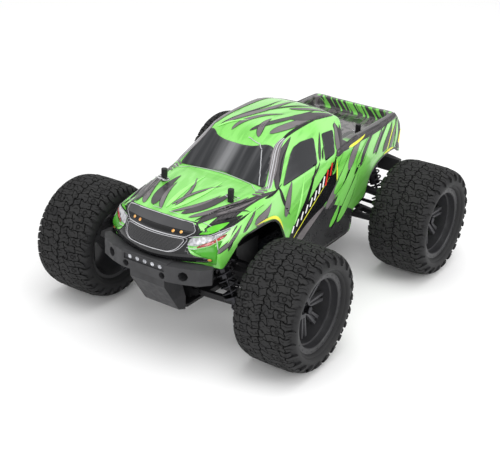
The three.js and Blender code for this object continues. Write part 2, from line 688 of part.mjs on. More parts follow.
function cabSection(share, inset) {
  const row = smoothRow(cabShares, share);
  const [crown, edge] = row.slice(1, 3).map((s) => bodyZ(s) - inset);
  const [edgeX, beltX] = row.slice(3, 5).map((s) => s * BODY_HALF_WIDTH - inset);
  const beltZ = bodyZ(row[5]) - SHELL_WALL;
  const floor = beltZ - CAB_BACK_CORNER - inset;
  const roofZ = crown - (crown - edge) * CROWN_MIDDLE_SHARE ** 2;
  const half = [
    [0, crown], [edgeX * CROWN_MIDDLE_SHARE, roofZ], [edgeX, edge],
    [(edgeX + beltX) * 0.5 + SHELL_WALL / 2, (edge + beltZ) * 0.5 + SHELL_WALL / 2],
    [beltX, beltZ], [beltX - SHELL_WALL, floor],
  ];
  return closedSection(half, bodyY(share) + inset);
}

// The plan view of the nose and tail at one height
function endSection(row, inset) {
  const [heightShare, noseShare, tailShare, noseBack, tailBack] = row;
  const reach = BODY_HALF_WIDTH + OVERRUN;
  const front = bodyY((1 - noseShare) / 2) + inset;
  const back = bodyY((1 + tailShare) / 2) - inset;
  const nose = acrossShares.map((s) => [s * reach, front + s * s * noseBack * BODY_HALF_WIDTH]);
  const tail = acrossShares.map((s) => [-s * reach, back - s * s * tailBack * BODY_HALF_WIDTH]);
  return [...nose, ...tail].map(([x, y]) => new THREE.Vector3(x, y, bodyZ(heightShare)));
}

function stations(table, count) {
  const [first, last] = [table[0][0], table.at(-1)[0]];
  return Array.from({ length: count }, (_, i) => first + ((last - first) * i) / (count - 1));
}

// How far out the cab's back edge still curves forwards, as a share of the bed's half width
const CAB_BACK_LIMIT_SHARE = 1.3;

// The plan curve of the cab's back edge, which the bed starts from
function cabBackY(x) {
  return CAB_BACK_Y - CAB_BACK_CORNER * Math.min(Math.abs(x) / BED_HALF_WIDTH, CAB_BACK_LIMIT_SHARE) ** 3;
}

// The height of the bed rails' tops at the tail, as a share of the roof height
const RAIL_TOP_SHARE = 0.8;

// What is open behind the cab: above the rails at full width, and down to the bed floor between them
function bedSpace(inset) {
  const wide = BODY_HALF_WIDTH + OVERRUN;
  const behindCab = acrossShares.map((s) => [s * BED_HALF_WIDTH, cabBackY(s * BED_HALF_WIDTH) - inset]);
  const railTop = bodyZ(RAIL_TOP_SHARE);
  const cabEnd = cabBackY(wide);
  const above = prism(
    "z",
    [[-wide, cabEnd], ...behindCab, [wide, cabEnd], [wide, HALF_BASE], [-wide, HALF_BASE]],
    railTop, ROOF_Z + OVERRUN,
  );
  const corner = CAB_BACK_CORNER / 2;
  const half = BED_HALF_WIDTH + inset;
  const floorOutline = [
    ...behindCab, [half, BED_TAIL_Y - corner], [half - corner, BED_TAIL_Y + inset],
    [corner - half, BED_TAIL_Y + inset], [-half, BED_TAIL_Y - corner],
  ];
  return join(above, prism("z", floorOutline, BED_FLOOR_Z - inset, ROOF_Z + OVERRUN));
}

// The lower edge of the shell seen from the side, as shares of half the length and of the roof height
const sillShares = [
  [-1.1, NOSE_SILL_SHARE], [-0.9, NOSE_SILL_SHARE], [-0.835, 0.512], [-0.8, 0.504],
  [-0.69, 0.608], [-0.63, 0.621], [-0.437, 0.621], [-0.35, 0.587], [-0.291, 0.483], [-0.214, 0.322], [-0.136, 0.218], [0.388, 0.218],
  [0.422, 0.239], [0.422, 0.364], [0.505, 0.374], [0.555, 0.395], [0.578, 0.47], [0.607, 0.53],
  [0.69, 0.577], [0.815, 0.592], [0.903, 0.582], [0.951, TAIL_SILL_SHARE], [1.1, TAIL_SILL_SHARE],
];

function belowShell() {
  const edge = sillShares.map(([along, up]) => [bodyY((1 + along) / 2), bodyZ(up)]);
  const end = edge.at(-1)[0];
  const bottom = -OVERRUN;
  const wide = BODY_HALF_WIDTH + OVERRUN;
  return prism("x", [...edge, [end, bottom], [-end, bottom]], -wide, wide);
}

function shellForm(inset) {
  const lower = loft(stations(lowerBodyShares, BODY_STATIONS).map((s) => lowerSection(s, inset)));
  const cab = loft(stations(cabShares, CAB_STATIONS).map((s) => cabSection(s, inset)));
  const ends = loft(endShares.map((row) => endSection(row, inset)));
  return cut(join(lower, cab).intersect(ends), bedSpace(inset));
}

// The height of the shell over a point beside the centre line, where a body post comes through
function deckZ(y) {
  if (y > 0) return BED_FLOOR_Z;
  return bodyZ(smoothRow(lowerBodyShares, ((y / HALF_BASE) * AXLE_SHARE + 1) / 2)[2]);
}

function postPlaces() {
  const places = [];
  for (const [end, y] of [["front", -FRONT_POST_Y], ["rear", REAR_POST_Y]]) {
    for (const [side, x] of [["left", POST_X], ["right", -POST_X]]) places.push({ end, side, x, y });
  }
  return places;
}

function bodyShell() {
  const holes = postPlaces().map(({ x, y }) => {
    const radius = POST_RADIUS + 2 * RUNNING_GAP;
    return rodZ({ x, y }, BED_FLOOR_Z - CAB_BACK_CORNER, ROOF_Z, radius, ROUND_SIDES);
  });
  return cut(shellForm(0), shellForm(SHELL_WALL), belowShell(), ...holes);
}

addPiece("body_shell", bodyShell(), paintedShell());

// Chassis
function chassisOutline(inset) {
  const across = TUB_HALF_WIDTH - inset;
  const along = TUB_HALF_LENGTH - inset;
  return chamferedRectangle(-across, across, -along, along, TUB_CORNER);
}

function motorMount() {
  const top = SHAFT_Z + MOTOR_MOUNT_RISE;
  const bottom = CHASSIS_TOP_Z - CHASSIS_PLATE / 2;
  const back = MOTOR_FRONT_Y + SEAT_GAP;
  const outline = [
    [MOTOR_X - MOTOR_RADIUS, bottom], [SHAFT_CUP_RADIUS + MOTOR_PLATE, bottom],
    [SHAFT_CUP_RADIUS + MOTOR_PLATE, SHAFT_Z + SHAFT_CUP_RADIUS],
    [0, SHAFT_Z + SHAFT_CUP_RADIUS + MOTOR_PLATE], [MOTOR_X + SHAFT_CUP_RADIUS, top],
    [MOTOR_X - MOTOR_RADIUS, top],
  ];
  const bores = [
    ringOutline(0, SHAFT_Z, SHAFT_RADIUS + RUNNING_GAP, HOUSING_SIDES),
    ringOutline(MOTOR_X, SHAFT_Z, MOTOR_SHAFT_RADIUS + 2 * RUNNING_GAP, ROUND_SIDES),
  ];
  return prism("y", outline, back, back + MOTOR_PLATE, bores);
}

function chassisPlate() {
  const tubTop = CHASSIS_TOP_Z + TUB_WALL_HEIGHT;
  const nose = NOSE_HALF_WIDTH;
  const end = CHASSIS_HALF_LENGTH;
  const tub = cut(
    prism("z", chassisOutline(0), GROUND_CLEARANCE, tubTop),
    prism("z", chassisOutline(TUB_WALL), CHASSIS_TOP_Z, tubTop + OVERRUN),
  );
  const spine = prism(
    "z", chamferedRectangle(-nose, nose, -end, end, 2 * EDGE_BREAK), GROUND_CLEARANCE, CHASSIS_TOP_Z,
  );
  const passage = prism("z", rectangle(-nose, nose, -end, end), CHASSIS_TOP_Z, tubTop + OVERRUN);
  return join(cut(tub, passage), spine, motorMount());
}

addPiece("chassis_plate", chassisPlate(), darkPlastic());

// Suspension pieces are drawn for the rear left corner, with the axle at y 0 and +y towards the truck's end
function barrel(place, halfWidth) {
  return rodY(place, -halfWidth, halfWidth, HINGE_BARREL_RADIUS, BARREL_SIDES);
}

function hingeBore(place, halfWidth) {
  const reach = halfWidth + OVERRUN;
  return rodY(place, -reach, reach, HINGE_BORE_RADIUS, BORE_SIDES);
}

function hingePin(place, halfWidth) {
  return rodY(place, -halfWidth, halfWidth, HINGE_PIN_RADIUS, PIN_SIDES);
}

function gearboxCase() {
  const half = GEARBOX_HALF_LENGTH;
  const top = GEARBOX_TOP_Z;
  const outline = [
    [-half, GEARBOX_BOTTOM_Z], [half, GEARBOX_BOTTOM_Z], [half, top - GEARBOX_CHAMFER],
    [half - GEARBOX_CHAMFER, top], [GEARBOX_CHAMFER - half, top], [-half, top - GEARBOX_CHAMFER],
  ];
  const bulge = GEARBOX_HALF_WIDTH + EDGE_BREAK;
  return join(
    prism("x", outline, -GEARBOX_HALF_WIDTH, GEARBOX_HALF_WIDTH),
    rodX(OUTDRIVE_Z, -bulge, bulge, DIFF_CASE_RADIUS, HOUSING_SIDES),
  );
}

// The cups that the driveshafts' inner heads sit in
function outdrives() {
  const end = OUTDRIVE_END_X;
  const cups = [-1, 1].map((side) => rodX(
    OUTDRIVE_Z, side * (end - OUTDRIVE_DEPTH), side * (end + OVERRUN), OUTDRIVE_BORE_RADIUS, BORE_SIDES,
  ));
  return cut(rodX(OUTDRIVE_Z, -end, end, OUTDRIVE_RADIUS, ROUND_SIDES), ...cups);
}

// The plates and pins that carry the suspension arms on both sides
function armHangers() {
  const half = GEARBOX_HALF_LENGTH;
  const tip = HINGE_BARREL_RADIUS;
  const hangers = [];
  for (const { x, z } of [LOWER_INNER, UPPER_INNER]) {
    const outline = mirroredFirst([[x, z - tip], [x + tip, z], [x, z + tip]]);
    hangers.push(prism("y", outline, -half, ARM_EAR - half), prism("y", outline, half - ARM_EAR, half));
    hangers.push(hingePin({ x, z }, half), hingePin({ x: -x, z }, half));
  }
  return hangers;
}

function gearbox() {
  return join(gearboxCase(), outdrives(), ...armHangers());
}

// Wishbones seen from above: along the arm as a share of its length, across as a share of the inner hinge
const lowerArmShares = [[0.035, 1], [0.42, 0.82], [0.8, 0.58], [0.965, 0.38]];
const lowerArmWindowShares = [
  [[0.16, 0.62], [0.4, 0.5]],
  [[0.48, 0.45], [0.76, 0.28]],
];
const upperArmShares = [[0.035, 1], [0.65, 0.28], [0.965, 0.38]];
const upperArmWindowShares = [[0.035, 0.74], [0.55, 0.13]];

function armOutline(shares) {
  const length = Math.hypot(ARM_SPAN.x, ARM_SPAN.z);
  return shares.map(([along, across]) => [along * length, across * ARM_INNER_HALF_WIDTH]);
}

// A flat blade laid along the line between an arm's two hinges
function armBlade(inner, outline, thickness, windows) {
  const slope = Math.atan2(ARM_SPAN.z, ARM_SPAN.x);
  const place = new THREE.Matrix4().makeRotationY(-slope).setPosition(inner.x, 0, inner.z);
  const blade = prism("z", outline, -thickness / 2, thickness / 2, windows);
  return solid(geometryOf(blade).applyMatrix4(place));
}

function armWithHinges(inner, outer, ...parts) {
  const arm = join(...parts, barrel(inner, ARM_INNER_HALF_WIDTH), barrel(outer, ARM_OUTER_HALF_WIDTH));
  return cut(arm, hingeBore(inner, ARM_INNER_HALF_WIDTH), hingeBore(outer, ARM_OUTER_HALF_WIDTH));
}

function lowerArm() {
  const outline = mirroredSecond(armOutline(lowerArmShares));
  const windows = lowerArmWindowShares.map((shares) => mirroredSecond(armOutline(shares)));
  const studEnd = SHOCK_OFFSET_Y + SHOCK_EYE_WIDTH / 2 + RUNNING_GAP;
  const bossEnd = SHOCK_OFFSET_Y - SHOCK_EYE_WIDTH / 2 - RUNNING_GAP;
  return armWithHinges(
    LOWER_INNER, LOWER_OUTER,
    armBlade(LOWER_INNER, outline, ARM_THICKNESS, windows),
    rodY(SHOCK_FOOT, 0, studEnd, HINGE_PIN_RADIUS, PIN_SIDES),
    rodY(SHOCK_FOOT, ARM_OUTER_HALF_WIDTH, bossEnd, SHOCK_BOSS_RADIUS, PIN_SIDES),
  );
}

function upperArm() {
  const solidOutline = armOutline(upperArmShares);
  const notch = armOutline(upperArmWindowShares);
  const outline = [...mirroredSecond(solidOutline), ...mirroredSecond(notch).reverse()];
  return armWithHinges(
    UPPER_INNER, UPPER_OUTER, armBlade(UPPER_INNER, outline, UPPER_ARM_THICKNESS, []),
  );
}

// The two plates that hold a carrier's hinge pins
function carrierEars() {
  const near = ARM_OUTER_HALF_WIDTH + RUNNING_GAP;
  const far = near + ARM_EAR;
  const webIn = CARRIER_WEB_X - CARRIER_WEB / 2;
  const webOut = CARRIER_WEB_X + CARRIER_WEB / 2;
  const tip = HINGE_BARREL_RADIUS;
  const [low, high] = [LOWER_OUTER, UPPER_OUTER];
  const outline = [
    [low.x - tip, low.z], [low.x - tip / 2, low.z - tip], [webOut, low.z - tip], [webOut, high.z + tip],
    [high.x - tip / 2, high.z + tip], [high.x - tip, high.z], [high.x - tip / 2, high.z - tip],
    [webIn, high.z - 2 * tip], [webIn, low.z + 2 * tip], [low.x - tip / 2, low.z + tip],
  ];
  return [
    prism("y", outline, -far, -near), prism("y", outline, near, far), hingePin(low, far), hingePin(high, far),
  ];
}

function carrierWeb() {
  const from = CARRIER_WEB_X - CARRIER_WEB / 2;
  const flat = Math.PI / HOUSING_SIDES;
  return prism(
    "x", ringOutline(0, AXLE_Z, CARRIER_RING_RADIUS, HOUSING_SIDES, flat), from, from + CARRIER_WEB,
    [ringOutline(0, AXLE_Z, CARRIER_HOLE_RADIUS, BORE_SIDES)],
  );
}

// The C-shaped carrier that holds a steering knuckle between its two lips
function frontCarrier() {
  const start = CARRIER_WEB_X - CARRIER_WEB / 2 + 2 * RUNNING_GAP;
  const end = KINGPIN_X + 2 * (KINGPIN_RADIUS + RUNNING_GAP);
  const w = CARRIER_LIP_HALF_WIDTH;
  const outline = mirroredSecond([[start, w], [end - EDGE_BREAK, w], [end, w / 2]]);
  const lips = [-1, 1].map((up) => {
    const near = AXLE_Z + up * (KNUCKLE_RING_RADIUS + RUNNING_GAP);
    const far = near + up * CARRIER_LIP;
    const bore = ringOutline(KINGPIN_X, 0, KINGPIN_BORE_RADIUS, PIN_SIDES);
    return prism("z", outline, Math.min(near, far), Math.max(near, far), [bore]);
  });
  return join(carrierWeb(), ...lips, ...carrierEars());
}

// The bearing boss that the wheel's axle turns in, from the knuckle or the rear carrier outwards
function axleBores(start) {
  const seat = KINGPIN_X + KNUCKLE_OUTBOARD;
  const end = seat + BEARING_BOSS_LENGTH + OVERRUN;
  return [
    rodX(AXLE_Z, start - OVERRUN, seat, JOINT_BORE_RADIUS, BORE_SIDES),
    rodX(AXLE_Z, start, end, AXLE_BORE_RADIUS, BORE_SIDES),
  ];
}

function bearingBoss(start) {
  const end = KINGPIN_X + KNUCKLE_OUTBOARD + BEARING_BOSS_LENGTH;
  return rodX(AXLE_Z, start, end, BEARING_BOSS_RADIUS, ROUND_SIDES);
}

// The steering arm seen from above: out from the kingpin as a share of its width, then a share of its reach
const steeringArmShares = [
  [-0.2, 0], [0.8, 0], [0.8, 0.6], [0.5, 1], [0.25, 1.1], [-0.25, 1.1], [-0.5, 1], [-0.2, 0.55],
];

function steeringKnuckle() {
  const inboard = KINGPIN_X - KNUCKLE_INBOARD;
  const outboard = KINGPIN_X + KNUCKLE_OUTBOARD;
  const ring = rodX(AXLE_Z, inboard, outboard, KNUCKLE_RING_RADIUS, HOUSING_SIDES);
  const pinStart = (JOINT_BORE_RADIUS + KNUCKLE_RING_RADIUS) / 2;
  const pinEnd = KNUCKLE_RING_RADIUS + CARRIER_LIP;
  const pins = [-1, 1].map((up) => rodZ(
    { x: KINGPIN_X, y: 0 }, AXLE_Z + up * pinStart, AXLE_Z + up * pinEnd, KINGPIN_RADIUS, PIN_SIDES,
  ));
  const armTop = TIE_ROD_OUTER.z - ROD_END_HEIGHT / 2 - ROD_END_GAP;
  const armOutline = steeringArmShares.map(([out, back]) => [
    KINGPIN_X + out * STEERING_ARM_WIDTH, -back * STEERING_ARM_REACH,
  ]);
  const stud = rodZ(
    { x: KINGPIN_X, y: -STEERING_ARM_REACH }, armTop - STEERING_ARM_THICKNESS / 2,
    TIE_ROD_OUTER.z + ROD_END_HEIGHT / 2 + SEAT_GAP, BALL_STUD_RADIUS, PIN_SIDES,
  );
  const arm = prism("z", armOutline, armTop - STEERING_ARM_THICKNESS, armTop);
  const body = join(ring, bearingBoss(outboard - EDGE_BREAK), arm);
  return join(cut(body, ...axleBores(inboard)), ...pins, stud);
}

function rearCarrier() {
  const start = CARRIER_WEB_X - CARRIER_WEB / 2;
  const outboard = KINGPIN_X + KNUCKLE_OUTBOARD;
  const inboard = KINGPIN_X - KNUCKLE_INBOARD;
  const block = rodX(AXLE_Z, start, outboard, KNUCKLE_RING_RADIUS, HOUSING_SIDES);
  const hole = rodX(AXLE_Z, start - OVERRUN, inboard, CARRIER_HOLE_RADIUS, BORE_SIDES);
  const body = join(block, bearingBoss(outboard - EDGE_BREAK));
  return join(cut(body, hole, ...axleBores(start)), ...carrierEars());
}

// The head of a driveshaft: along from its middle and out, as shares of its radius
const shaftHeadShares = [[-1, 0], [-0.7, 0.7], [0, 1]];

function driveshaft() {
  const start = [DRIVESHAFT_INNER_X, 0, OUTDRIVE_Z];
  const end = [KINGPIN_X, 0, AXLE_Z];
  const length = Math.hypot(end[0] - start[0], end[2] - start[2]);
  const neck = DRIVESHAFT_HEAD_RADIUS;
  const head = shaftHeadShares.map(([along, out]) => [along * neck, out * neck]);
  const profile = [
    ...head, [neck, DRIVESHAFT_RADIUS], [length - neck, DRIVESHAFT_RADIUS],
    ...head.map(([along, out]) => [length - along, out]).reverse(),
  ];
  return turnedBetween(start, end, profile, PIN_SIDES);
}

// A point on the line of the shock, at a distance from its upper eye
function alongShock(distance) {
  const out = distance * Math.sin(SHOCK_LEAN);
  const down = distance * Math.cos(SHOCK_LEAN);
  return [SHOCK_TOP.x + out, SHOCK_OFFSET_Y, SHOCK_TOP.z - down];
}

function shockEye(place) {
  const half = SHOCK_EYE_WIDTH / 2;
  return rodY(place, SHOCK_OFFSET_Y - half, SHOCK_OFFSET_Y + half, SHOCK_EYE_RADIUS, BARREL_SIDES);
}

function shockEyeBore(place, radius) {
  const reach = SHOCK_EYE_WIDTH / 2 + OVERRUN;
  return rodY(place, SHOCK_OFFSET_Y - reach, SHOCK_OFFSET_Y + reach, radius, BORE_SIDES);
}

// A profile of [distance from the upper eye, radius] pairs turned about the shock's own line
function turnedAlongShock(profile) {
  return turnedBetween(alongShock(0), alongShock(SHOCK_LENGTH), profile, SHOCK_SIDES);
}

function shockBody() {
  const eye = SHOCK_EYE_WIDTH / 2;
  const capEnd = SHOCK_CAP_START + SHOCK_CAP_LENGTH;
  const collarEnd = SHOCK_COLLAR_START + SHOCK_COLLAR_THICKNESS;
  const cylinder = turnedAlongShock([
    [0, 0], [0, eye], [SHOCK_CAP_START, eye], [SHOCK_CAP_START, SHOCK_CAP_RADIUS],
    [capEnd, SHOCK_CAP_RADIUS], [capEnd, SHOCK_BODY_RADIUS], [SHOCK_COLLAR_START, SHOCK_BODY_RADIUS],
    [SHOCK_COLLAR_START, SHOCK_COLLAR_RADIUS], [collarEnd, SHOCK_COLLAR_RADIUS],
    [collarEnd, SHOCK_BODY_RADIUS], [SHOCK_BODY_END, SHOCK_BODY_RADIUS],
    [SHOCK_BODY_END, SHOCK_BORE_RADIUS], [capEnd, SHOCK_BORE_RADIUS], [capEnd, 0],
  ]);
  return cut(join(shockEye(SHOCK_TOP), cylinder), shockEyeBore(SHOCK_TOP, HINGE_BORE_RADIUS));
}

function shockShaft() {
  const seatEnd = SHOCK_LENGTH - SHOCK_SEAT_RISE;
  const seatStart = seatEnd - SHOCK_SEAT_THICKNESS;
  const shaftStart = SHOCK_BODY_END - SHOCK_SHAFT_INSIDE;
  const rodAndSeat = turnedAlongShock([
    [SHOCK_LENGTH, 0], [SHOCK_LENGTH, SHOCK_EYE_WIDTH / 2], [seatEnd, SHOCK_EYE_WIDTH / 2],
    [seatEnd, SHOCK_SEAT_RADIUS], [seatStart, SHOCK_SEAT_RADIUS], [seatStart, SHOCK_SHAFT_RADIUS],
    [shaftStart, SHOCK_SHAFT_RADIUS], [shaftStart, 0],
  ]);
  return cut(join(shockEye(SHOCK_FOOT), rodAndSeat), shockEyeBore(SHOCK_FOOT, SHOCK_FOOT_BORE_RADIUS));
}

// The least distance between the skins of neighbouring curls, measured on the wire's points
function leastCurlGap(path) {
  let least = Infinity;
  for (let i = 0; i < path.length; i++) {
    for (let j = i + SPRING_STEPS / 2; j < path.length; j++) {
      least = Math.min(least, path[i].distanceTo(path[j]));
    }
  }
  return least - 2 * SPRING_WIRE_RADIUS;
}

function springPath() {
  const first = SHOCK_COLLAR_START + SHOCK_COLLAR_THICKNESS + SPRING_WIRE_RADIUS + SEAT_GAP;
  const last = SHOCK_LENGTH - SHOCK_SEAT_RISE - SHOCK_SEAT_THICKNESS - SPRING_WIRE_RADIUS - SEAT_GAP;
  const down = new THREE.Vector3(Math.sin(SHOCK_LEAN), 0, -Math.cos(SHOCK_LEAN));
  const across = new THREE.Vector3(Math.cos(SHOCK_LEAN), 0, Math.sin(SHOCK_LEAN));
  const along = new THREE.Vector3(0, 1, 0);
  const count = SPRING_CURLS * SPRING_STEPS;
  return Array.from({ length: count + 1 }, (_, i) => {
    const angle = (i / SPRING_STEPS) * 2 * Math.PI;
    const distance = first + ((last - first) * i) / count;
    return new THREE.Vector3(SHOCK_TOP.x, SHOCK_OFFSET_Y, SHOCK_TOP.z)
      .addScaledVector(down, distance)
      .addScaledVector(across, SPRING_RADIUS * Math.cos(angle))
      .addScaledVector(along, SPRING_RADIUS * Math.sin(angle));
  });
}

function shockSpring() {
  const path = springPath();
  const axis = new THREE.Vector3(Math.sin(SHOCK_LEAN), 0, -Math.cos(SHOCK_LEAN));
  const rings = path.map((point, i) => {
    const before = path[Math.max(i - 1, 0)];
    const after = path[Math.min(i + 1, path.length - 1)];
    const forward = after.clone().sub(before).normalize();
    const side = new THREE.Vector3().crossVectors(forward, axis).normalize();
    const up = new THREE.Vector3().crossVectors(side, forward).normalize();
    return Array.from({ length: SPRING_SIDES }, (_, k) => {
      const angle = (k / SPRING_SIDES) * 2 * Math.PI;
      return point.clone()
        .addScaledVector(side, SPRING_WIRE_RADIUS * Math.cos(angle))
        .addScaledVector(up, SPRING_WIRE_RADIUS * Math.sin(angle));
    });
  });
  return loft(rings);
}

console.log("least gap between spring curls, mm: " + leastCurlGap(springPath()).toFixed(2));

// Wheels are drawn about their own middle, with +x outboard
// Profile pairs: shares of half the tyre's width, then of its radius
const tyreProfileShares = [
  [0.76, 0.664], [0.99, 0.81], [0.93, 0.955], [0.32, 1.0],
];

// Columns round each lug as shares of the pitch, the last one in the groove, and how far the inner half is
// turned against the outer half; then the groove's depth at each profile point, as a share of the lug's
const lugColumnShares = [-LUG_FACE_SHARE / 2, LUG_FACE_SHARE / 2, 0.5];
const LUG_STAGGER_SHARE = 0.5;
const grooveDepthShares = [0, 0, 1.3, 0.9];

function tyrePoint(x, radius, lug) {
  const angle = (lug / LUG_COUNT) * 2 * Math.PI;
  return new THREE.Vector3(x, radius * Math.cos(angle), radius * Math.sin(angle));
}

function tyreColumn(profile, place, groove) {
  const half = TYRE_WIDTH / 2;
  const last = profile.length - 1;
  return profile.map(([across, radiusShare], j) => {
    const side = Math.sign(across);
    const fromEdge = Math.min(j, last - j);
    if (fromEdge === 0) return tyrePoint((side * TYRE_BEAD_WIDTH) / 2, RIM_RADIUS + SEAT_GAP, place);
    const staggered = j > last / 2 ? place + LUG_STAGGER_SHARE : place;
    const depth = groove ? grooveDepthShares[fromEdge] * LUG_DEPTH : 0;
    const pull = groove && fromEdge === 2 ? LUG_DEPTH : 0;
    return tyrePoint(across * half - side * pull, radiusShare * TYRE_RADIUS - depth, staggered);
  });
}

function tyre() {
  const inner = tyreProfileShares.map(([across, radius]) => [-across, radius]).reverse();
  const profile = [...tyreProfileShares, ...inner];
  const rings = [];
  for (let lug = 0; lug < LUG_COUNT; lug++) {
    for (const share of lugColumnShares) {
      rings.push(tyreColumn(profile, lug + share, share === lugColumnShares.at(-1)));
    }
  }
  return closedLoft(rings);
}

// A skin over rings that come back round to the first one
function closedLoft(rings) {
  const count = rings[0].length;
  const positions = rings.flat().flatMap((p) => [p.x, p.y, p.z]);
  const indices = [];
  for (let i = 0; i < rings.length; i++) {
    const after = (i + 1) % rings.length;
    for (let j = 0; j < count; j++) {
      const next = (j + 1) % count;
      const a = i * count + j;
      const b = i * count + next;
      const c = after * count + next;
      const d = after * count + j;
      indices.push(a, b, c, a, c, d);
    }
  }
  const geometry = new THREE.BufferGeometry();
  geometry.setAttribute("position", new THREE.Float32BufferAttribute(positions, 3));
  geometry.setIndex(indices);
  return solid(geometry);
}

function spokeBars(back, face) {
  const bars = [];
  for (let i = 0; i < SPOKE_COUNT; i++) {
    const turn = new THREE.Matrix4().makeRotationX((i / SPOKE_COUNT) * 2 * Math.PI);
    for (const side of [-1, 1]) {
      const near = (side * SPOKE_SLOT_WIDTH) / 2;
      const far = near + side * SPOKE_BAR_WIDTH;
      const outline = rectangle(SPOKE_START_RADIUS, RIM_STEP_RADIUS, near, far);
      bars.push(solid(geometryOf(prism("x", outline, back, face)).applyMatrix4(turn)));
    }
  }
  return bars;
}

// The hub in the middle of the spokes, the nut outside it, and the hexagon and the axle behind it
function wheelHub(spokeBack, spokeFace) {
  const nutStart = spokeFace + EDGE_BREAK;
  const seat = KINGPIN_X + KNUCKLE_OUTBOARD + RUNNING_GAP - HALF_TRACK;
  const flat = Math.PI / ROUND_SIDES;
  return join(
    prism("x", ringOutline(0, 0, WHEEL_HUB_RADIUS, ROUND_SIDES, flat), spokeBack - EDGE_BREAK, nutStart),
    rodX(0, spokeFace, nutStart + WHEEL_NUT_LENGTH, WHEEL_NUT_RADIUS, PIN_SIDES),
    rodX(0, seat + BEARING_BOSS_LENGTH, spokeBack, WHEEL_HEX_RADIUS, PIN_SIDES),
    rodX(0, seat, spokeBack, AXLE_RADIUS, PIN_SIDES),
  );
}

function rim() {
  const half = TYRE_WIDTH / 2;
  const face = half - RIM_FACE_INSET;
  const spokeFace = half - SPOKE_INSET;
  const spokeBack = spokeFace - SPOKE_THICKNESS;
  const back = -TYRE_BEAD_WIDTH / 2;
  const wallRadius = RIM_RADIUS - RIM_WALL;
  const ring = turned([
    [back, RIM_RADIUS], [face, RIM_RADIUS], [face, RIM_RADIUS - RIM_RING_WIDTH],
    [half - RIM_STEP_INSET, RIM_STEP_RADIUS], [spokeBack - RIM_WALL, RIM_STEP_RADIUS], [back, wallRadius],
    [back, RIM_RADIUS],
  ], RIM_SIDES);
  return join(ring, ...spokeBars(spokeBack, spokeFace), wheelHub(spokeBack, spokeFace));
}

const cornerBuilders = {
  lower_arm: [lowerArm, darkPlastic],
  upper_arm: [upperArm, darkPlastic],
  driveshaft: [driveshaft, blackSteel],
  shock_body: [shockBody, blackSteel],
  shock_shaft: [shockShaft, steel],
  shock_spring: [shockSpring, blackSteel],
};

for (const [end, along] of [["front", -1], ["rear", 1]]) {
  for (const [side, across] of [["left", 1], ["right", -1]]) {
    const corner = new THREE.Group();
    corner.position.set(0, along * HALF_BASE, 0);
    corner.scale.set(across, along, 1);
    truck.add(corner);
    const prefix = `${end}_${side}_`;
    for (const [name, [build, material]] of Object.entries(cornerBuilders)) {
      addPiece(prefix + name, build(), material(), corner);
    }
    const carrier = end === "front" ? frontCarrier() : rearCarrier();
    addPiece(prefix + "hub_carrier", carrier, greyPlastic(), corner);
    if (end === "front") addPiece(prefix + "steering_knuckle", steeringKnuckle(), greyPlastic(), corner);
    const wheel = new THREE.Group();
    wheel.position.set(HALF_TRACK, 0, AXLE_Z);
    corner.add(wheel);
    addPiece(prefix + "tyre", tyre(), rubber(), wheel);
    addPiece(prefix + "rim", rim(), darkPlastic(), wheel);
  }
}

// Shock towers with the body posts that the shell sits on
// Plate and window: across as a share of the tower's half width, up as a share of its height
const towerShares = [
  [0.28, 0], [0.25, 0.3], [0.7, 0.6], [1, 0.71], [1, 0.88], [0.91, 1], [0.39, 1], [0.28, 0.88],
];
const towerWindowShares = [[0.14, 0.17], [0.19, 0.72]];
const TOWER_WING_SHARE = 0.71;

function towerPlate(base, height) {
  const place = ([across, up]) => [across * TOWER_HALF_WIDTH, base + up * height];
  const outline = mirroredFirst(towerShares.map(place));
  const window = mirroredFirst(towerWindowShares.map(place));
  return prism("y", outline, TOWER_OFFSET_Y, TOWER_OFFSET_Y + TOWER_PLATE, [window]);
}

// A post with its collar under the shell and the hole for its clip
function bodyPost(x, y, bottom, deck) {
  const collarTop = deck - SHELL_WALL - POST_COLLAR_GAP;
  const post = join(
    rodZ({ x, y }, bottom, deck + POST_RISE, POST_RADIUS, ROUND_SIDES),
    rodZ({ x, y }, collarTop - POST_COLLAR_THICKNESS, collarTop, POST_COLLAR_RADIUS, ROUND_SIDES),
  );
  const clipZ = deck + CLIP_RISE;
  const reach = POST_RADIUS + OVERRUN;
  return cut(post, rod([x - reach, y, clipZ], [x + reach, y, clipZ], CLIP_HOLE_RADIUS, PIN_SIDES));
}

function shockTower(postY, deck) {
  const top = SHOCK_TOP_Z + SHOCK_EYE_RADIUS;
  const base = GEARBOX_TOP_Z + SEAT_GAP;
  const height = top - base;
  const foot = TOWER_FOOT_HALF_WIDTH;
  const face = TOWER_OFFSET_Y + TOWER_PLATE;
  const back = GEARBOX_CHAMFER - GEARBOX_HALF_LENGTH;
  const footOutline = chamferedRectangle(-foot, foot, back, face, EDGE_BREAK);
  const parts = [towerPlate(base, height), prism("z", footOutline, base, base + TOWER_PLATE)];
  const wing = base + height * TOWER_WING_SHARE;
  const stud = SHOCK_OFFSET_Y + SHOCK_EYE_WIDTH / 2 + RUNNING_GAP;
  const boss = SHOCK_OFFSET_Y - SHOCK_EYE_WIDTH / 2 - RUNNING_GAP;
  for (const side of [-1, 1]) {
    const eye = { x: side * SHOCK_TOP_X, z: SHOCK_TOP_Z };
    const x = side * POST_X;
    const bracket = rectangle(x - POST_RADIUS, x + POST_RADIUS, wing, top - EDGE_BREAK);
    parts.push(
      rodY(eye, face - EDGE_BREAK, stud, HINGE_PIN_RADIUS, PIN_SIDES),
      rodY(eye, face - EDGE_BREAK, boss, HINGE_BARREL_RADIUS, PIN_SIDES),
      prism("y", bracket, postY, TOWER_OFFSET_Y + EDGE_BREAK),
      bodyPost(x, postY, wing, deck),
    );
  }
  return join(...parts);
}

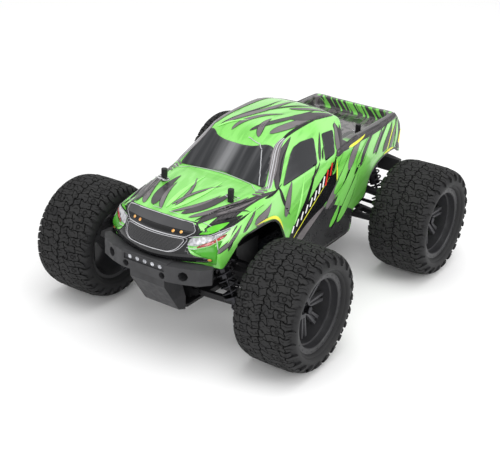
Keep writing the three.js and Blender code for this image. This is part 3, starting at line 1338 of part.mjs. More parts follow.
function endGroup(along) {
  const group = new THREE.Group();
  group.position.set(0, along * HALF_BASE, 0);
  group.scale.set(1, along, 1);
  truck.add(group);
  return group;
}

const frontEnd = endGroup(-1);
const rearEnd = endGroup(1);
addPiece("front_gearbox", gearbox(), darkPlastic(), frontEnd);
addPiece("rear_gearbox", gearbox(), darkPlastic(), rearEnd);
const frontTower = shockTower(FRONT_POST_Y - HALF_BASE, deckZ(-FRONT_POST_Y));
const rearTower = shockTower(REAR_POST_Y - HALF_BASE, deckZ(REAR_POST_Y));
addPiece("front_shock_tower", frontTower, darkPlastic(), frontEnd);
addPiece("rear_shock_tower", rearTower, darkPlastic(), rearEnd);

// Body clips: a straight leg through the post and a sprung leg that comes back round it
function bodyClip() {
  const loop = CLIP_LOOP_RADIUS;
  const wrap = POST_RADIUS + CLIP_WIRE_RADIUS + RUNNING_GAP;
  const inner = -CLIP_LENGTH * CLIP_INNER_SHARE;
  const outer = CLIP_LENGTH * CLIP_OUTER_SHARE;
  const path = [[outer, 0], [0, 0], [inner, 0]];
  for (let i = 1; i <= CLIP_LOOP_STEPS; i++) {
    const angle = (i / CLIP_LOOP_STEPS) * CLIP_LOOP_TURN;
    path.push([inner - loop * Math.sin(angle), loop - loop * Math.cos(angle)]);
  }
  path.push([-wrap, wrap], [0, wrap], [wrap, wrap], [outer, wrap + CLIP_WIRE_RADIUS]);
  return tube(path.map(([x, y]) => new THREE.Vector3(x, y, 0)), CLIP_WIRE_RADIUS, SPRING_SIDES);
}

for (const { end, side, x, y } of postPlaces()) {
  const clip = addPiece(`${end}_${side}_body_clip`, bodyClip(), steel());
  clip.position.set(x, y, deckZ(y) + CLIP_RISE);
  if (side === "right") clip.rotation.z = Math.PI;
}

// Bumpers
// Front beam seen from above: shares of its half width and of the bumper's depth behind its face
const frontBumperShares = [
  [0.41, 0], [0.62, 0.34], [0.88, 1.03], [1, 1.91], [0.96, 2.41], [0.8, 2.06], [0.5, 1.53], [0.33, 1],
];
// Light bar from the side: shares of the bumper's depth and of the bar's height from its middle
const lightBarShares = [[0, -1], [1, -1], [1, 0.55], [0.23, 0.55], [0, 0.35]];
// Necks from the side: shares of the way from the chassis to the bumper's face and up to its bottom edge
const frontNeckShares = [[0.89, 1.05], [0.86, 0.78], [0.27, 0.08], [0, 0], [0, 0.29], [0.335, 1.05]];
const rearNeckShares = [[0.88, 1.06], [0.64, 1.06], [0, 0.25], [0, 0], [0.24, 0.09], [0.88, 0.7]];
// Rear beam seen from above: shares of its half width and of its depth behind the face
const rearBumperShares = [[0.55, 0], [1, 0.7], [1, 1.1], [0.5, 1]];

function bumperLightBar() {
  const outline = lightBarShares.map(([back, up]) => [
    -BUMPER_FRONT_Y + back * BUMPER_DEPTH, LIGHT_BAR_Z + up * LIGHT_BAR_HEIGHT,
  ]);
  const half = LIGHT_BAR_HALF_WIDTH + EDGE_BREAK;
  return prism("x", outline, -half, half);
}

function bumperHoles() {
  const front = -BUMPER_FRONT_Y;
  const middleZ = (BUMPER_BOTTOM_Z + BUMPER_TOP_Z) / 2;
  const towZ = BUMPER_BOTTOM_Z + WING_HOLE_RADIUS;
  const holes = [];
  for (const side of [-1, 1]) {
    const tow = { x: side * TOW_HOLE_X, z: towZ };
    const wingStart = [side * WING_HOLE_X, front - OVERRUN, middleZ];
    const wingEnd = [side * WING_HOLE_INNER_X, front + WING_HOLE_REACH, middleZ];
    holes.push(rodY(tow, front - OVERRUN, front + TOW_HOLE_DEPTH, TOW_HOLE_RADIUS, ROUND_SIDES));
    holes.push(rod(wingStart, wingEnd, WING_HOLE_RADIUS, ROUND_SIDES));
  }
  return holes;
}

function bumperNeck(shares, end, face, bottom) {
  const start = CHASSIS_HALF_LENGTH + SEAT_GAP;
  const outline = shares.map(([along, up]) => [
    end * (start + along * (face - start)), GROUND_CLEARANCE + up * (bottom - GROUND_CLEARANCE),
  ]);
  return prism("x", outline, -SKID_HALF_WIDTH, SKID_HALF_WIDTH);
}

function frontBumper() {
  const outline = frontBumperShares.map(([across, back]) => [
    across * BUMPER_HALF_WIDTH, back * BUMPER_DEPTH - BUMPER_FRONT_Y,
  ]);
  const beam = prism("z", mirroredFirst(outline), BUMPER_BOTTOM_Z, BUMPER_TOP_Z);
  const neck = bumperNeck(frontNeckShares, -1, BUMPER_FRONT_Y, BUMPER_BOTTOM_Z);
  const lamp = rectangle(
    -LIGHT_BAR_HALF_WIDTH, LIGHT_BAR_HALF_WIDTH,
    LIGHT_BAR_Z - LIGHT_BAR_HEIGHT / 2, LIGHT_BAR_Z + LIGHT_BAR_HEIGHT / 4,
  );
  const pocket = prism("y", lamp, -BUMPER_FRONT_Y - OVERRUN, -BUMPER_FRONT_Y + LIGHT_BAR_RECESS);
  return cut(join(beam, bumperLightBar(), neck), pocket, ...bumperHoles());
}

function rearBumper() {
  const outline = rearBumperShares.map(([across, back]) => [
    across * REAR_BUMPER_HALF_WIDTH, REAR_BUMPER_Y - back * REAR_BUMPER_DEPTH,
  ]);
  const beam = prism("z", mirroredFirst(outline), REAR_BUMPER_BOTTOM_Z, REAR_BUMPER_TOP_Z);
  const neck = bumperNeck(rearNeckShares, 1, REAR_BUMPER_Y, REAR_BUMPER_BOTTOM_Z);
  const half = SKID_HALF_WIDTH / 2;
  const low = CHASSIS_TOP_Z + REAR_BUMPER_DEPTH;
  const opening = rectangle(-half, half, low, REAR_BUMPER_BOTTOM_Z - EDGE_BREAK);
  const window = prism("y", opening, CHASSIS_HALF_LENGTH - OVERRUN, REAR_BUMPER_Y + OVERRUN);
  return cut(join(beam, neck), window);
}

addPiece("front_bumper", frontBumper(), greyPlastic());
addPiece("rear_bumper", rearBumper(), darkPlastic());

// Drive train: a spur gear on the centre shaft, turned by the motor's pinion
function gearOutline(centreX, centreZ, teeth, firstTooth) {
  const pitch = (GEAR_MODULE * teeth) / 2;
  const tip = pitch + GEAR_MODULE * TOOTH_ADDENDUM_SHARE;
  const root = pitch - GEAR_MODULE * TOOTH_DEDENDUM_SHARE;
  const points = [];
  for (let i = 0; i < teeth; i++) {
    const step = (2 * Math.PI) / teeth;
    const middle = firstTooth + i * step;
    for (const [share, radius] of [
      [-TOOTH_ROOT_SHARE, root], [-TOOTH_TIP_SHARE, tip], [TOOTH_TIP_SHARE, tip], [TOOTH_ROOT_SHARE, root],
    ]) {
      const angle = middle + share * step;
      points.push([centreX + radius * Math.cos(angle), centreZ + radius * Math.sin(angle)]);
    }
  }
  return points;
}

function centreShaft() {
  const half = GEAR_WIDTH / 2;
  const gear = prism("y", gearOutline(0, SHAFT_Z, SPUR_TEETH, Math.PI), GEAR_Y - half, GEAR_Y + half);
  const reach = HALF_BASE - GEARBOX_HALF_LENGTH - SEAT_GAP;
  const centre = { x: 0, z: SHAFT_Z };
  const cups = [-1, 1].map((end) => rodY(
    centre, end * reach, end * (reach - SHAFT_CUP_LENGTH), SHAFT_CUP_RADIUS, ROUND_SIDES,
  ));
  return join(gear, rodY(centre, -reach, reach, SHAFT_RADIUS, PIN_SIDES), ...cups);
}

function motorPinion() {
  const outline = gearOutline(MOTOR_X, SHAFT_Z, PINION_TEETH, Math.PI / PINION_TEETH);
  const bore = ringOutline(MOTOR_X, SHAFT_Z, MOTOR_SHAFT_RADIUS + SEAT_GAP, PIN_SIDES);
  return prism("y", outline, GEAR_Y - GEAR_WIDTH / 2, GEAR_Y + GEAR_WIDTH / 2, [bore]);
}

function motor() {
  const front = MOTOR_FRONT_Y;
  const back = front - MOTOR_LENGTH;
  const axis = { x: MOTOR_X, z: SHAFT_Z };
  return join(
    rodY(axis, back + EDGE_BREAK, front, MOTOR_RADIUS, MOTOR_SIDES),
    rodY(axis, back, back + 2 * EDGE_BREAK, MOTOR_RADIUS - EDGE_BREAK, MOTOR_SIDES),
    rodY(axis, front - EDGE_BREAK, GEAR_Y + GEAR_WIDTH / 2, MOTOR_SHAFT_RADIUS, PIN_SIDES),
  );
}

addPiece("centre_shaft_spur_gear", centreShaft(), blackSteel());
addPiece("motor_pinion", motorPinion(), steel());
addPiece("motor", motor(), steel());

// Steering
function servo() {
  const front = HORN_Y - SERVO_WIDTH / 2;
  const back = front + SERVO_LENGTH;
  const low = SERVO_X - SERVO_WIDTH / 2;
  const high = SERVO_X + SERVO_WIDTH / 2;
  const flangeZ = SERVO_BOTTOM_Z + SERVO_FLANGE_RISE;
  const inset = EDGE_BREAK / 2;
  const flange = rectangle(low + inset, high - inset, front - SERVO_FLANGE, back + SERVO_FLANGE);
  return join(
    prism("z", rectangle(low, high, front, back), SERVO_BOTTOM_Z, SERVO_TOP_Z),
    prism("z", flange, flangeZ, flangeZ + SERVO_FLANGE_THICKNESS),
    rodZ({ x: SERVO_X, y: HORN_Y }, SERVO_TOP_Z - EDGE_BREAK, HORN_TOP_Z, SPLINE_RADIUS, ROUND_SIDES),
  );
}

function servoHorn() {
  const bottom = HORN_TOP_Z - HORN_THICKNESS;
  const outlines = [
    rectangle(SERVO_X - HORN_HALF_WIDTH, SERVO_X + HORN_HALF_WIDTH, DRAG_LINK_Y, HORN_Y),
    ringOutline(SERVO_X, HORN_Y, HORN_END_RADIUS, ROUND_SIDES),
    ringOutline(SERVO_X, DRAG_LINK_Y, HORN_END_RADIUS, ROUND_SIDES),
  ];
  const bores = [[HORN_Y, SPLINE_BORE_RADIUS], [DRAG_LINK_Y, HORN_SLOT_RADIUS]].map(([y, radius]) => rodZ(
    { x: SERVO_X, y }, bottom - OVERRUN, HORN_TOP_Z + OVERRUN, radius, ROUND_SIDES,
  ));
  return cut(join(...outlines.map((outline) => prism("z", outline, bottom, HORN_TOP_Z))), ...bores);
}

function dragLink() {
  const top = DRAG_LINK_TOP_Z;
  const reach = TIE_ROD_INNER.x + ROD_END_RADIUS;
  const half = DRAG_LINK_WIDTH / 2;
  const outline = chamferedRectangle(-reach, reach, DRAG_LINK_Y - half, DRAG_LINK_Y + half, half / 2);
  const studTop = TIE_ROD_INNER.z + ROD_END_HEIGHT / 2 + SEAT_GAP;
  const studs = [-1, 1].map((side) => rodZ(
    { x: side * TIE_ROD_INNER.x, y: DRAG_LINK_Y }, top - EDGE_BREAK, studTop, BALL_STUD_RADIUS, PIN_SIDES,
  ));
  const pin = rodZ({ x: SERVO_X, y: DRAG_LINK_Y }, top - EDGE_BREAK, HORN_TOP_Z, HINGE_PIN_RADIUS, PIN_SIDES);
  return join(prism("z", outline, top - DRAG_LINK_THICKNESS, top), ...studs, pin);
}

function tieRod() {
  const y = DRAG_LINK_Y;
  const half = ROD_END_HEIGHT / 2;
  const ends = [
    [TIE_ROD_INNER, ROD_END_RADIUS, ROD_END_BORE, 1],
    [TIE_ROD_OUTER, ROD_END_OUTER_RADIUS, ROD_END_OUTER_BORE, -1],
  ];
  const rings = ends.map(([place, radius, bore]) => prism(
    "z", ringOutline(place.x, y, radius, ROUND_SIDES), place.z - half, place.z + half,
    [ringOutline(place.x, y, bore, ROUND_SIDES)],
  ));
  const [start, end] = ends.map(([place, radius, bore, inwards]) => [
    place.x + (inwards * (radius + bore)) / 2, y, place.z,
  ]);
  return join(...rings, rod(start, end, TIE_ROD_RADIUS, PIN_SIDES));
}

addPiece("steering_servo", servo(), darkPlastic());
addPiece("servo_horn", servoHorn(), greyPlastic());
addPiece("steering_drag_link", dragLink(), blackSteel());
addPiece("left_tie_rod", tieRod(), blackSteel());
const rightSide = new THREE.Group();
rightSide.scale.x = -1;
truck.add(rightSide);
addPiece("right_tie_rod", tieRod(), blackSteel(), rightSide);

// Battery and electronics on the tub floor
function caseBox(left, right, front, back, height) {
  const bottom = CHASSIS_TOP_Z + SEAT_GAP;
  return prism("y", chamferedRectangle(left, right, bottom, bottom + height, EDGE_BREAK), front, back);
}

// The battery lies between the spur gear and the tub's wall, behind the servo
function battery() {
  const near = SPUR_TIP_RADIUS + BATTERY_GEAR_GAP;
  const far = TUB_HALF_WIDTH - TUB_WALL - BATTERY_WALL_GAP;
  const front = HORN_Y - SERVO_WIDTH / 2 + SERVO_LENGTH + SERVO_FLANGE + BATTERY_SERVO_GAP;
  return caseBox(near, far, front, TUB_HALF_LENGTH - TUB_CORNER - BATTERY_REAR_GAP, BATTERY_HEIGHT);
}

// The speed controller and receiver lie in front of the motor, between the shaft and the other wall
function electronics() {
  const near = SHAFT_CUP_RADIUS + ELECTRONICS_SHAFT_GAP;
  const far = TUB_HALF_WIDTH - TUB_WALL - ELECTRONICS_WALL_GAP;
  const front = ELECTRONICS_FRONT_GAP + TUB_CORNER - TUB_HALF_LENGTH;
  const back = MOTOR_FRONT_Y - MOTOR_LENGTH - ELECTRONICS_MOTOR_GAP;
  return caseBox(-far, -near, front, back, ELECTRONICS_HEIGHT);
}

addPiece("battery_pack", battery(), blueWrap());
addPiece("electronics_box", electronics(), darkPlastic());

export default truck;
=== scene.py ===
"""Looks of a radio-controlled monster truck: painted shell, black windows, rubber, plastics and lamps.

Sizes are in millimetres and become metres where a mesh is made.
"""

import math

import bmesh
import bpy
import numpy as np
from mathutils import Matrix, Vector
from mathutils.bvhtree import BVHTree


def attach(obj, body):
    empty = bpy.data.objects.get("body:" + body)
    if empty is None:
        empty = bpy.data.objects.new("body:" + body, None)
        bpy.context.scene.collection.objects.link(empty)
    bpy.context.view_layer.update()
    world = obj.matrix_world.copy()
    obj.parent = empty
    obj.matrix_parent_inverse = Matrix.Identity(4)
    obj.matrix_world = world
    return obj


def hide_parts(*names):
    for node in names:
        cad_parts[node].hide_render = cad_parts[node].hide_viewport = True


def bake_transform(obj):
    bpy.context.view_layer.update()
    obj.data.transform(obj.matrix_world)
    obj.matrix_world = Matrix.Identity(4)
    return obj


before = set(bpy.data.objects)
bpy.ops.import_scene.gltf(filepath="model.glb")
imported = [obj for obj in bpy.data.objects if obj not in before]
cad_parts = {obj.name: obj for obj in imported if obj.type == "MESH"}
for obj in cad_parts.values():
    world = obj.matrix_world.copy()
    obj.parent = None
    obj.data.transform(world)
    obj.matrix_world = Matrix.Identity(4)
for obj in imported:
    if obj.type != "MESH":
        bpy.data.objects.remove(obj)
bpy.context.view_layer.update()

MM = 0.001
FULL_TURN = 2 * math.pi

# Camera
CAMERA_AZIMUTH = math.radians(32.91)
CAMERA_ELEVATION = math.radians(25.38)
CAMERA_ROLL = math.radians(2.49)
CAMERA_DISTANCE = 1322.2
CAMERA_TARGET = (0, 0, 56.6)
CAMERA_FOCAL_SHARE = 2.4021
CAMERA_SENSOR = 36
CAMERA_SHIFT = (-0.02426, 0.0103)

# Body shell, as the solids have it
BODY_LENGTH = 412
BODY_HALF_WIDTH = 67
ROOF_Z = 192.47
SHELL_WALL = 1.3
SHELL_FLOOR_Z = 34
BED_FLOOR_Z = 141
BED_HALF_WIDTH = 49
BED_CORNER = 7.5
BED_TAIL_Y = 187
RAIL_TOP_Z = 154
CAB_BACK_Y = 86.5
CAB_BACK_CORNER = 15
END_HALF_WIDTH = 71
SHELL_VOXEL = 1.3
SHELL_SMOOTHING = 3
SECTION_CORNER = 4.5

# Wheels
TRACK_X = 125
BASE_Y = 130
AXLE_Z = 62.3767
LUG_PITCHES = 24
LUG_HEIGHT = 2.2
CORNERS = {
    "front_left": (1, -1),
    "front_right": (-1, -1),
    "rear_left": (1, 1),
    "rear_right": (-1, 1),
}

# Shocks
SHOCK_TOP = (41, 114.977)
SHOCK_FOOT = (70, 50.377)
SHOCK_Y = 149
SPRING_RADIUS = 8.3
SPRING_WIRE = 0.95
SPRING_CURLS = 6
SPRING_START = 19.2
SPRING_END = 58.3

# Share of the length; heights of crown, edge, shoulder and waist; widths of edge, shoulder, waist and sill
lower_body_shares = [
    [0.0, 0.696, 0.691, 0.632, 0.551, 0.507, 0.81, 0.915, 0.925],
    [0.063, 0.732, 0.73, 0.668, 0.582, 0.567, 0.856, 0.96, 0.965],
    [0.136, 0.748, 0.743, 0.699, 0.634, 0.604, 0.896, 0.993, 0.97],
    [0.209, 0.761, 0.756, 0.719, 0.644, 0.657, 0.925, 1.0, 0.98],
    [0.269, 0.769, 0.766, 0.733, 0.64, 0.731, 0.945, 0.993, 0.968],
    [0.31, 0.772, 0.769, 0.743, 0.63, 0.845, 0.95, 0.985, 0.955],
    [0.403, 0.77, 0.772, 0.759, 0.613, 0.866, 0.933, 0.978, 0.948],
    [0.55, 0.775, 0.78, 0.772, 0.613, 0.82, 0.925, 0.965, 0.943],
    [0.631, 0.78, 0.785, 0.777, 0.613, 0.776, 0.915, 0.957, 0.94],
    [0.743, 0.784, 0.789, 0.779, 0.62, 0.77, 0.905, 0.95, 0.933],
    [0.852, 0.788, 0.792, 0.782, 0.634, 0.755, 0.895, 0.94, 0.925],
    [0.937, 0.793, 0.797, 0.787, 0.66, 0.716, 0.858, 0.91, 0.903],
    [1.0, 0.797, 0.8, 0.79, 0.675, 0.657, 0.8, 0.873, 0.866],
]
# Share of the length; heights of crown and edge; widths of edge and belt; height of the belt
cab_shares = [
    [0.293, 0.741, 0.737, 0.87, 0.94, 0.732],
    [0.306, 0.777, 0.77, 0.858, 0.937, 0.742],
    [0.35, 0.864, 0.856, 0.75, 0.93, 0.752],
    [0.393, 0.944, 0.934, 0.648, 0.925, 0.758],
    [0.425, 0.978, 0.961, 0.642, 0.922, 0.762],
    [0.475, 0.993, 0.973, 0.652, 0.92, 0.768],
    [0.55, 0.996, 0.977, 0.664, 0.915, 0.773],
    [0.62, 0.993, 0.972, 0.668, 0.91, 0.778],
    [0.665, 0.968, 0.943, 0.672, 0.905, 0.78],
    [0.709, 0.914, 0.882, 0.664, 0.9, 0.78],
    [0.74, 0.868, 0.83, 0.657, 0.895, 0.78],
]
# Share of the height; reach of nose and tail; how far each is drawn back at the sides
end_shares = [
    [0.0, 0.956, 0.995, 0.49, 0.1],
    [0.514, 0.956, 0.995, 0.49, 0.1],
    [0.54, 0.963, 1.0, 0.49, 0.1],
    [0.59, 0.976, 0.984, 0.48, 0.1],
    [0.665, 0.922, 0.99, 0.4, 0.11],
    [0.7, 0.892, 0.993, 0.27, 0.11],
    [0.727, 0.871, 0.99, 0.09, 0.1],
    [0.745, 0.862, 0.974, 0.06, 0.07],
    [0.79, 0.85, 0.94, 0.04, 0.04],
    [1.1, 0.83, 0.93, 0.04, 0.04],
]
# The shell's lower edge: share of the half length, share of the height
sill_shares = [
    [-1.1, 0.551], [-0.9, 0.551], [-0.835, 0.512], [-0.8, 0.504], [-0.69, 0.608], [-0.63, 0.621],
    [-0.437, 0.621], [-0.35, 0.587], [-0.291, 0.483], [-0.214, 0.322], [-0.136, 0.218],
    [0.388, 0.218], [0.422, 0.239], [0.422, 0.364], [0.505, 0.374], [0.555, 0.395], [0.578, 0.47],
    [0.607, 0.53], [0.69, 0.577], [0.815, 0.592], [0.903, 0.582], [0.951, 0.54], [1.1, 0.54],
]


def make_camera():
    """The photograph's viewpoint."""
    back = Vector((
        math.sin(CAMERA_AZIMUTH) * math.cos(CAMERA_ELEVATION),
        -math.cos(CAMERA_AZIMUTH) * math.cos(CAMERA_ELEVATION),
        math.sin(CAMERA_ELEVATION),
    ))
    level = Vector((math.cos(CAMERA_AZIMUTH), math.sin(CAMERA_AZIMUTH), 0))
    rise = back.cross(level)
    right = level * math.cos(CAMERA_ROLL) + rise * math.sin(CAMERA_ROLL)
    up = rise * math.cos(CAMERA_ROLL) - level * math.sin(CAMERA_ROLL)
    data = bpy.data.cameras.new("camera")
    data.sensor_width = CAMERA_SENSOR
    data.lens = CAMERA_FOCAL_SHARE * CAMERA_SENSOR
    data.shift_x, data.shift_y = CAMERA_SHIFT
    camera = bpy.data.objects.new("camera", data)
    bpy.context.scene.collection.objects.link(camera)
    place = (Vector(CAMERA_TARGET) + back * CAMERA_DISTANCE) * MM
    turned = Matrix((right, up, back)).transposed().to_4x4()
    camera.matrix_world = Matrix.Translation(place) @ turned
    bpy.context.scene.camera = camera


make_camera()


# Materials


class Graph:
    """A material and short ways to add nodes to it."""

    def __init__(self, name, colour, roughness, **sockets):
        self.material = bpy.data.materials.new(name)
        self.material.use_nodes = True
        self.tree = self.material.node_tree
        self.shader = self.tree.nodes["Principled BSDF"]
        self.put(self.shader.inputs["Base Color"], colour)
        self.put(self.shader.inputs["Roughness"], roughness)
        for socket, value in sockets.items():
            self.put(self.shader.inputs[socket.replace("_", " ")], value)

    def put(self, socket, value):
        if isinstance(value, bpy.types.NodeSocket):
            self.tree.links.new(value, socket)
        elif isinstance(value, (tuple, list)) and len(value) == 3 and socket.type == "RGBA":
            socket.default_value = (*value, 1)
        else:
            socket.default_value = value

    def node(self, kind, *values, **settings):
        made = self.tree.nodes.new("ShaderNode" + kind)
        for key, value in settings.items():
            setattr(made, key, value)
        for socket, value in zip(made.inputs, values):
            if value is not None:
                self.put(socket, value)
        return made

    def math(self, operation, *values):
        return self.node("Math", *values, operation=operation).outputs[0]

    def places(self):
        """Coordinates in millimetres."""
        scaled = self.node("VectorMath", self.node("TexCoord").outputs["Object"], operation="SCALE")
        scaled.inputs["Scale"].default_value = 1 / MM
        return scaled.outputs[0]

    def split(self, vector):
        return self.node("SeparateXYZ", vector).outputs

    def merge(self, x, y, z):
        return self.node("CombineXYZ", x, y, z).outputs[0]

    def noise(self, vector, size, detail=2.0, roughness=0.5, distortion=0.0):
        made = self.node("TexNoise")
        self.put(made.inputs["Vector"], vector)
        made.inputs["Scale"].default_value = 1 / size
        made.inputs["Detail"].default_value = detail
        made.inputs["Roughness"].default_value = roughness
        made.inputs["Distortion"].default_value = distortion
        return made.outputs[0]

    def band(self, value, low, high, start=0.0, end=1.0):
        """Rises smoothly from start to end as the value goes from low to high."""
        made = self.node("MapRange", value, low, high, start, end, interpolation_type="SMOOTHSTEP")
        return made.outputs[0]

    def blend(self, share, first, second):
        made = self.node("Mix", data_type="RGBA")
        self.put(made.inputs[0], share)
        self.put(made.inputs[6], first)
        self.put(made.inputs[7], second)
        return made.outputs[2]

    def bump(self, height, distance, strength=1.0):
        """Surface relief of a distance in millimetres."""
        made = self.node("Bump")
        made.inputs["Strength"].default_value = strength
        made.inputs["Distance"].default_value = distance * MM
        self.put(made.inputs["Height"], height)
        self.put(self.shader.inputs["Normal"], made.outputs[0])


GREEN = (0.2, 0.65, 0.1)
LIGHT_GREEN = (0.3, 0.78, 0.19)
DEEP_GREEN = (0.08, 0.4, 0.025)
PAINT_GREY = (0.14, 0.128, 0.132)
PAINT_DARK_GREY = (0.048, 0.044, 0.047)
PAINT_BLACK = (0.006, 0.006, 0.007)
YELLOW = (0.75, 0.76, 0.06)


def streaks(paint, place):
    """Noise drawn out along the truck."""
    x, y, z = paint.split(place)
    bend = paint.math("MULTIPLY", paint.noise(place, 110, 1.0), 40.0)
    across = paint.math("ADD", paint.math("ABSOLUTE", x), bend)
    rise = paint.math("SUBTRACT", z, paint.math("MULTIPLY", y, 0.35))
    drawn = paint.merge(
        paint.math("DIVIDE", across, 8.0), paint.math("DIVIDE", y, 75.0), paint.math("DIVIDE", rise, 11.0)
    )
    return paint.noise(drawn, 1, 2.0, 0.45)


def green_colours(paint, place, streak):
    """Bright green, lighter and deeper in soft streaks, with a painted shade that deepens it low on the sides, most
    towards the nose.
    """
    x, y, z = paint.split(place)
    tone = paint.noise(place, 60, 1.5)
    green = paint.blend(paint.band(tone, 0.38, 0.62), GREEN, LIGHT_GREEN)
    green = paint.blend(paint.band(streak, 0.52, 0.7, 0.0, 0.5), green, DEEP_GREEN)
    green = paint.blend(paint.band(streak, 0.44, 0.32, 0.0, 0.6), green, LIGHT_GREEN)
    # Painted shade: the green deepens low on the sides, most towards the nose.
    low = paint.math("MULTIPLY", paint.band(z, 122.0, 98.0), paint.band(y, -120.0, -150.0, 0.25, 0.75))
    return paint.blend(low, green, DEEP_GREEN)


def paint_finish():
    """Glossy paint: streaked green with a painted shade low on the sides, dark rails, a grey bed floor."""
    paint = Graph("painted_shell", GREEN, 0.22, Coat_Weight=0.6, Coat_Roughness=0.06)
    place = paint.places()
    streak = streaks(paint, place)
    colour = bed_colours(paint, green_colours(paint, place, streak), place, streak)
    paint.put(paint.shader.inputs["Base Color"], colour)
    paint.put(paint.shader.inputs["Roughness"], paint.band(streak, 0.3, 0.7, 0.16, 0.28))
    paint.bump(paint.noise(place, 9, 1.0), 0.05)
    return paint.material


def accent_green_finish():
    """The same green, its painted shade low on the sides included, on the laid blades."""
    paint = Graph("green_paint", GREEN, 0.22, Coat_Weight=0.6, Coat_Roughness=0.06)
    place = paint.places()
    paint.put(paint.shader.inputs["Base Color"], green_colours(paint, place, streaks(paint, place)))
    return paint.material


def bed_colours(paint, colour, place, fine):
    """Grey leaf pattern on the bed's floor, dark rails, green stripes inside the tailgate."""
    x, y, z = paint.split(place)
    reach = paint.math("ABSOLUTE", x)
    leaves = paint.noise(place, 15, 2.5, 0.55, 1.6)
    leaf = paint.blend(paint.band(leaves, 0.44, 0.5), PAINT_DARK_GREY, PAINT_GREY)
    leaf = paint.blend(paint.band(fine, 0.6, 0.62), leaf, PAINT_BLACK)
    stripes = paint.noise(
        paint.merge(
            paint.math("DIVIDE", paint.math("ADD", x, paint.math("MULTIPLY", z, 0.8)), 3.6),
            paint.math("DIVIDE", y, 40.0),
            paint.math("DIVIDE", z, 30.0),
        ),
        1, 1.5, 0.5,
    )
    tail = paint.blend(paint.band(stripes, 0.5, 0.53), PAINT_DARK_GREY, GREEN)
    floor = paint.math("MULTIPLY", paint.band(y, 68.0, 70.0), paint.band(reach, 51.0, 49.5))
    floor = paint.math("MULTIPLY", floor, paint.band(z, 156.5, 155.0))
    floor = paint.math("MULTIPLY", floor, paint.band(z, 139.0, 139.6))
    rail = paint.math("MULTIPLY", paint.band(z, 147.0, 149.5), paint.band(y, 70.0, 86.0))
    rail = paint.math("MULTIPLY", rail, paint.band(z, 158.0, 156.0))
    inside_tail = paint.math("MULTIPLY", floor, paint.band(y, 183.5, 185.5))
    inside_tail = paint.math("MULTIPLY", inside_tail, paint.band(y, 191.0, 189.0))
    colour = paint.blend(rail, colour, PAINT_DARK_GREY)
    colour = paint.blend(floor, colour, leaf)
    return paint.blend(inside_tail, colour, tail)


def plastic_finish(name, colour, roughness, grain=0.9, depth=0.05, shine=0.3):
    """Moulded plastic with a fine grain and a slight change of tone."""
    made = Graph(name, colour, roughness, Specular_IOR_Level=shine)
    place = made.places()
    tone = made.noise(place, 30, 3.0)
    lighter = tuple(min(1, c * 1.35 + 0.004) for c in colour)
    made.put(made.shader.inputs["Base Color"], made.blend(made.band(tone, 0.3, 0.75), colour, lighter))
    rough = made.band(made.noise(place, 6, 4.0), 0.3, 0.7, roughness * 0.85, min(1, roughness * 1.2))
    made.put(made.shader.inputs["Roughness"], rough)
    made.bump(made.noise(place, grain, 2.0), depth)
    return made.material


TREAD_PITCH = FULL_TURN * 59.9 / LUG_PITCHES
RING_PLACE = 19.8


def rubber_finish():
    """Dull black rubber with fine wavy cuts and small rings across the tread, painted near black as their shade, and
    lighter in patches, most on its high faces.
    """
    made = Graph("tyre_rubber", (0.02, 0.02, 0.021), 0.75, Specular_IOR_Level=0.22)
    place = made.places()
    x, y, z = made.split(place)
    radius = made.math("SQRT", made.math("ADD", made.math("MULTIPLY", y, y), made.math("MULTIPLY", z, z)))
    around = made.math("MULTIPLY", made.math("ARCTAN2", y, z), 59.9)
    wander = made.noise(made.merge(x, around, 0.0), 7.5, 1.5, 0.5)
    run = made.math("ADD", made.math("MULTIPLY", around, 1.6), made.math("MULTIPLY", wander, 16.0))
    run = made.math("ADD", run, made.math("MULTIPLY", made.math("SINE", made.math("MULTIPLY", x, 0.75)), 1.1))
    wave = made.math("SINE", run)
    broken = made.band(made.noise(made.merge(x, around, 4.0), 5.0, 1.0), 0.44, 0.52)
    cut = made.math("MULTIPLY", made.band(wave, 0.55, 0.85), broken)
    side = made.math("SIGN", x)
    pitch = made.math("DIVIDE", around, TREAD_PITCH)
    pitch = made.math("ADD", pitch, made.math("MULTIPLY", side, 0.25))
    along = made.math("SUBTRACT", made.math("FRACT", pitch), 0.52)
    along = made.math("MULTIPLY", along, TREAD_PITCH)
    across = made.math("SUBTRACT", made.math("ABSOLUTE", x), RING_PLACE)
    away = made.math("SQRT", made.math("ADD", made.math("MULTIPLY", along, along), made.math("MULTIPLY", across, across)))
    ring = made.math("MULTIPLY", made.band(away, 1.2, 1.5), made.band(away, 2.7, 2.4))
    clear = made.band(away, 2.6, 3.2)
    cut = made.math("MAXIMUM", made.math("MULTIPLY", cut, clear), ring)
    cut = made.math("MULTIPLY", cut, made.band(radius, 52.0, 57.0))
    # Lighter in patches towards the tread's high faces, darker lower down.
    high_face_tone = made.math("MULTIPLY", made.noise(place, 14, 4.0), made.band(radius, 57.0, 61.0, 0.55, 1.0))
    colour = made.blend(made.band(high_face_tone, 0.2, 0.65), (0.014, 0.014, 0.015), (0.026, 0.026, 0.026))
    # Painted shade: the cuts and rings are painted near black for the shade inside them.
    colour = made.blend(cut, colour, (0.003, 0.003, 0.003))
    made.put(made.shader.inputs["Base Color"], colour)
    made.put(made.shader.inputs["Roughness"], made.band(high_face_tone, 0.2, 0.6, 0.55, 0.8))
    relief = made.math("SUBTRACT", made.math("MULTIPLY", made.noise(place, 0.8, 2.0), 0.12), cut)
    made.bump(relief, 0.5)
    return made.material


def metal_finish(name, colour, roughness):
    """Brushed or turned metal."""
    made = Graph(name, colour, roughness, Metallic=1.0)
    place = made.places()
    scratches = made.noise(made.node("VectorMath", place, (1.0, 0.2, 1.0), operation="MULTIPLY").outputs[0], 0.5, 3.0)
    made.put(made.shader.inputs["Roughness"], made.band(scratches, 0.3, 0.7, roughness * 0.7, roughness * 1.3))
    made.bump(scratches, 0.01)
    return made.material


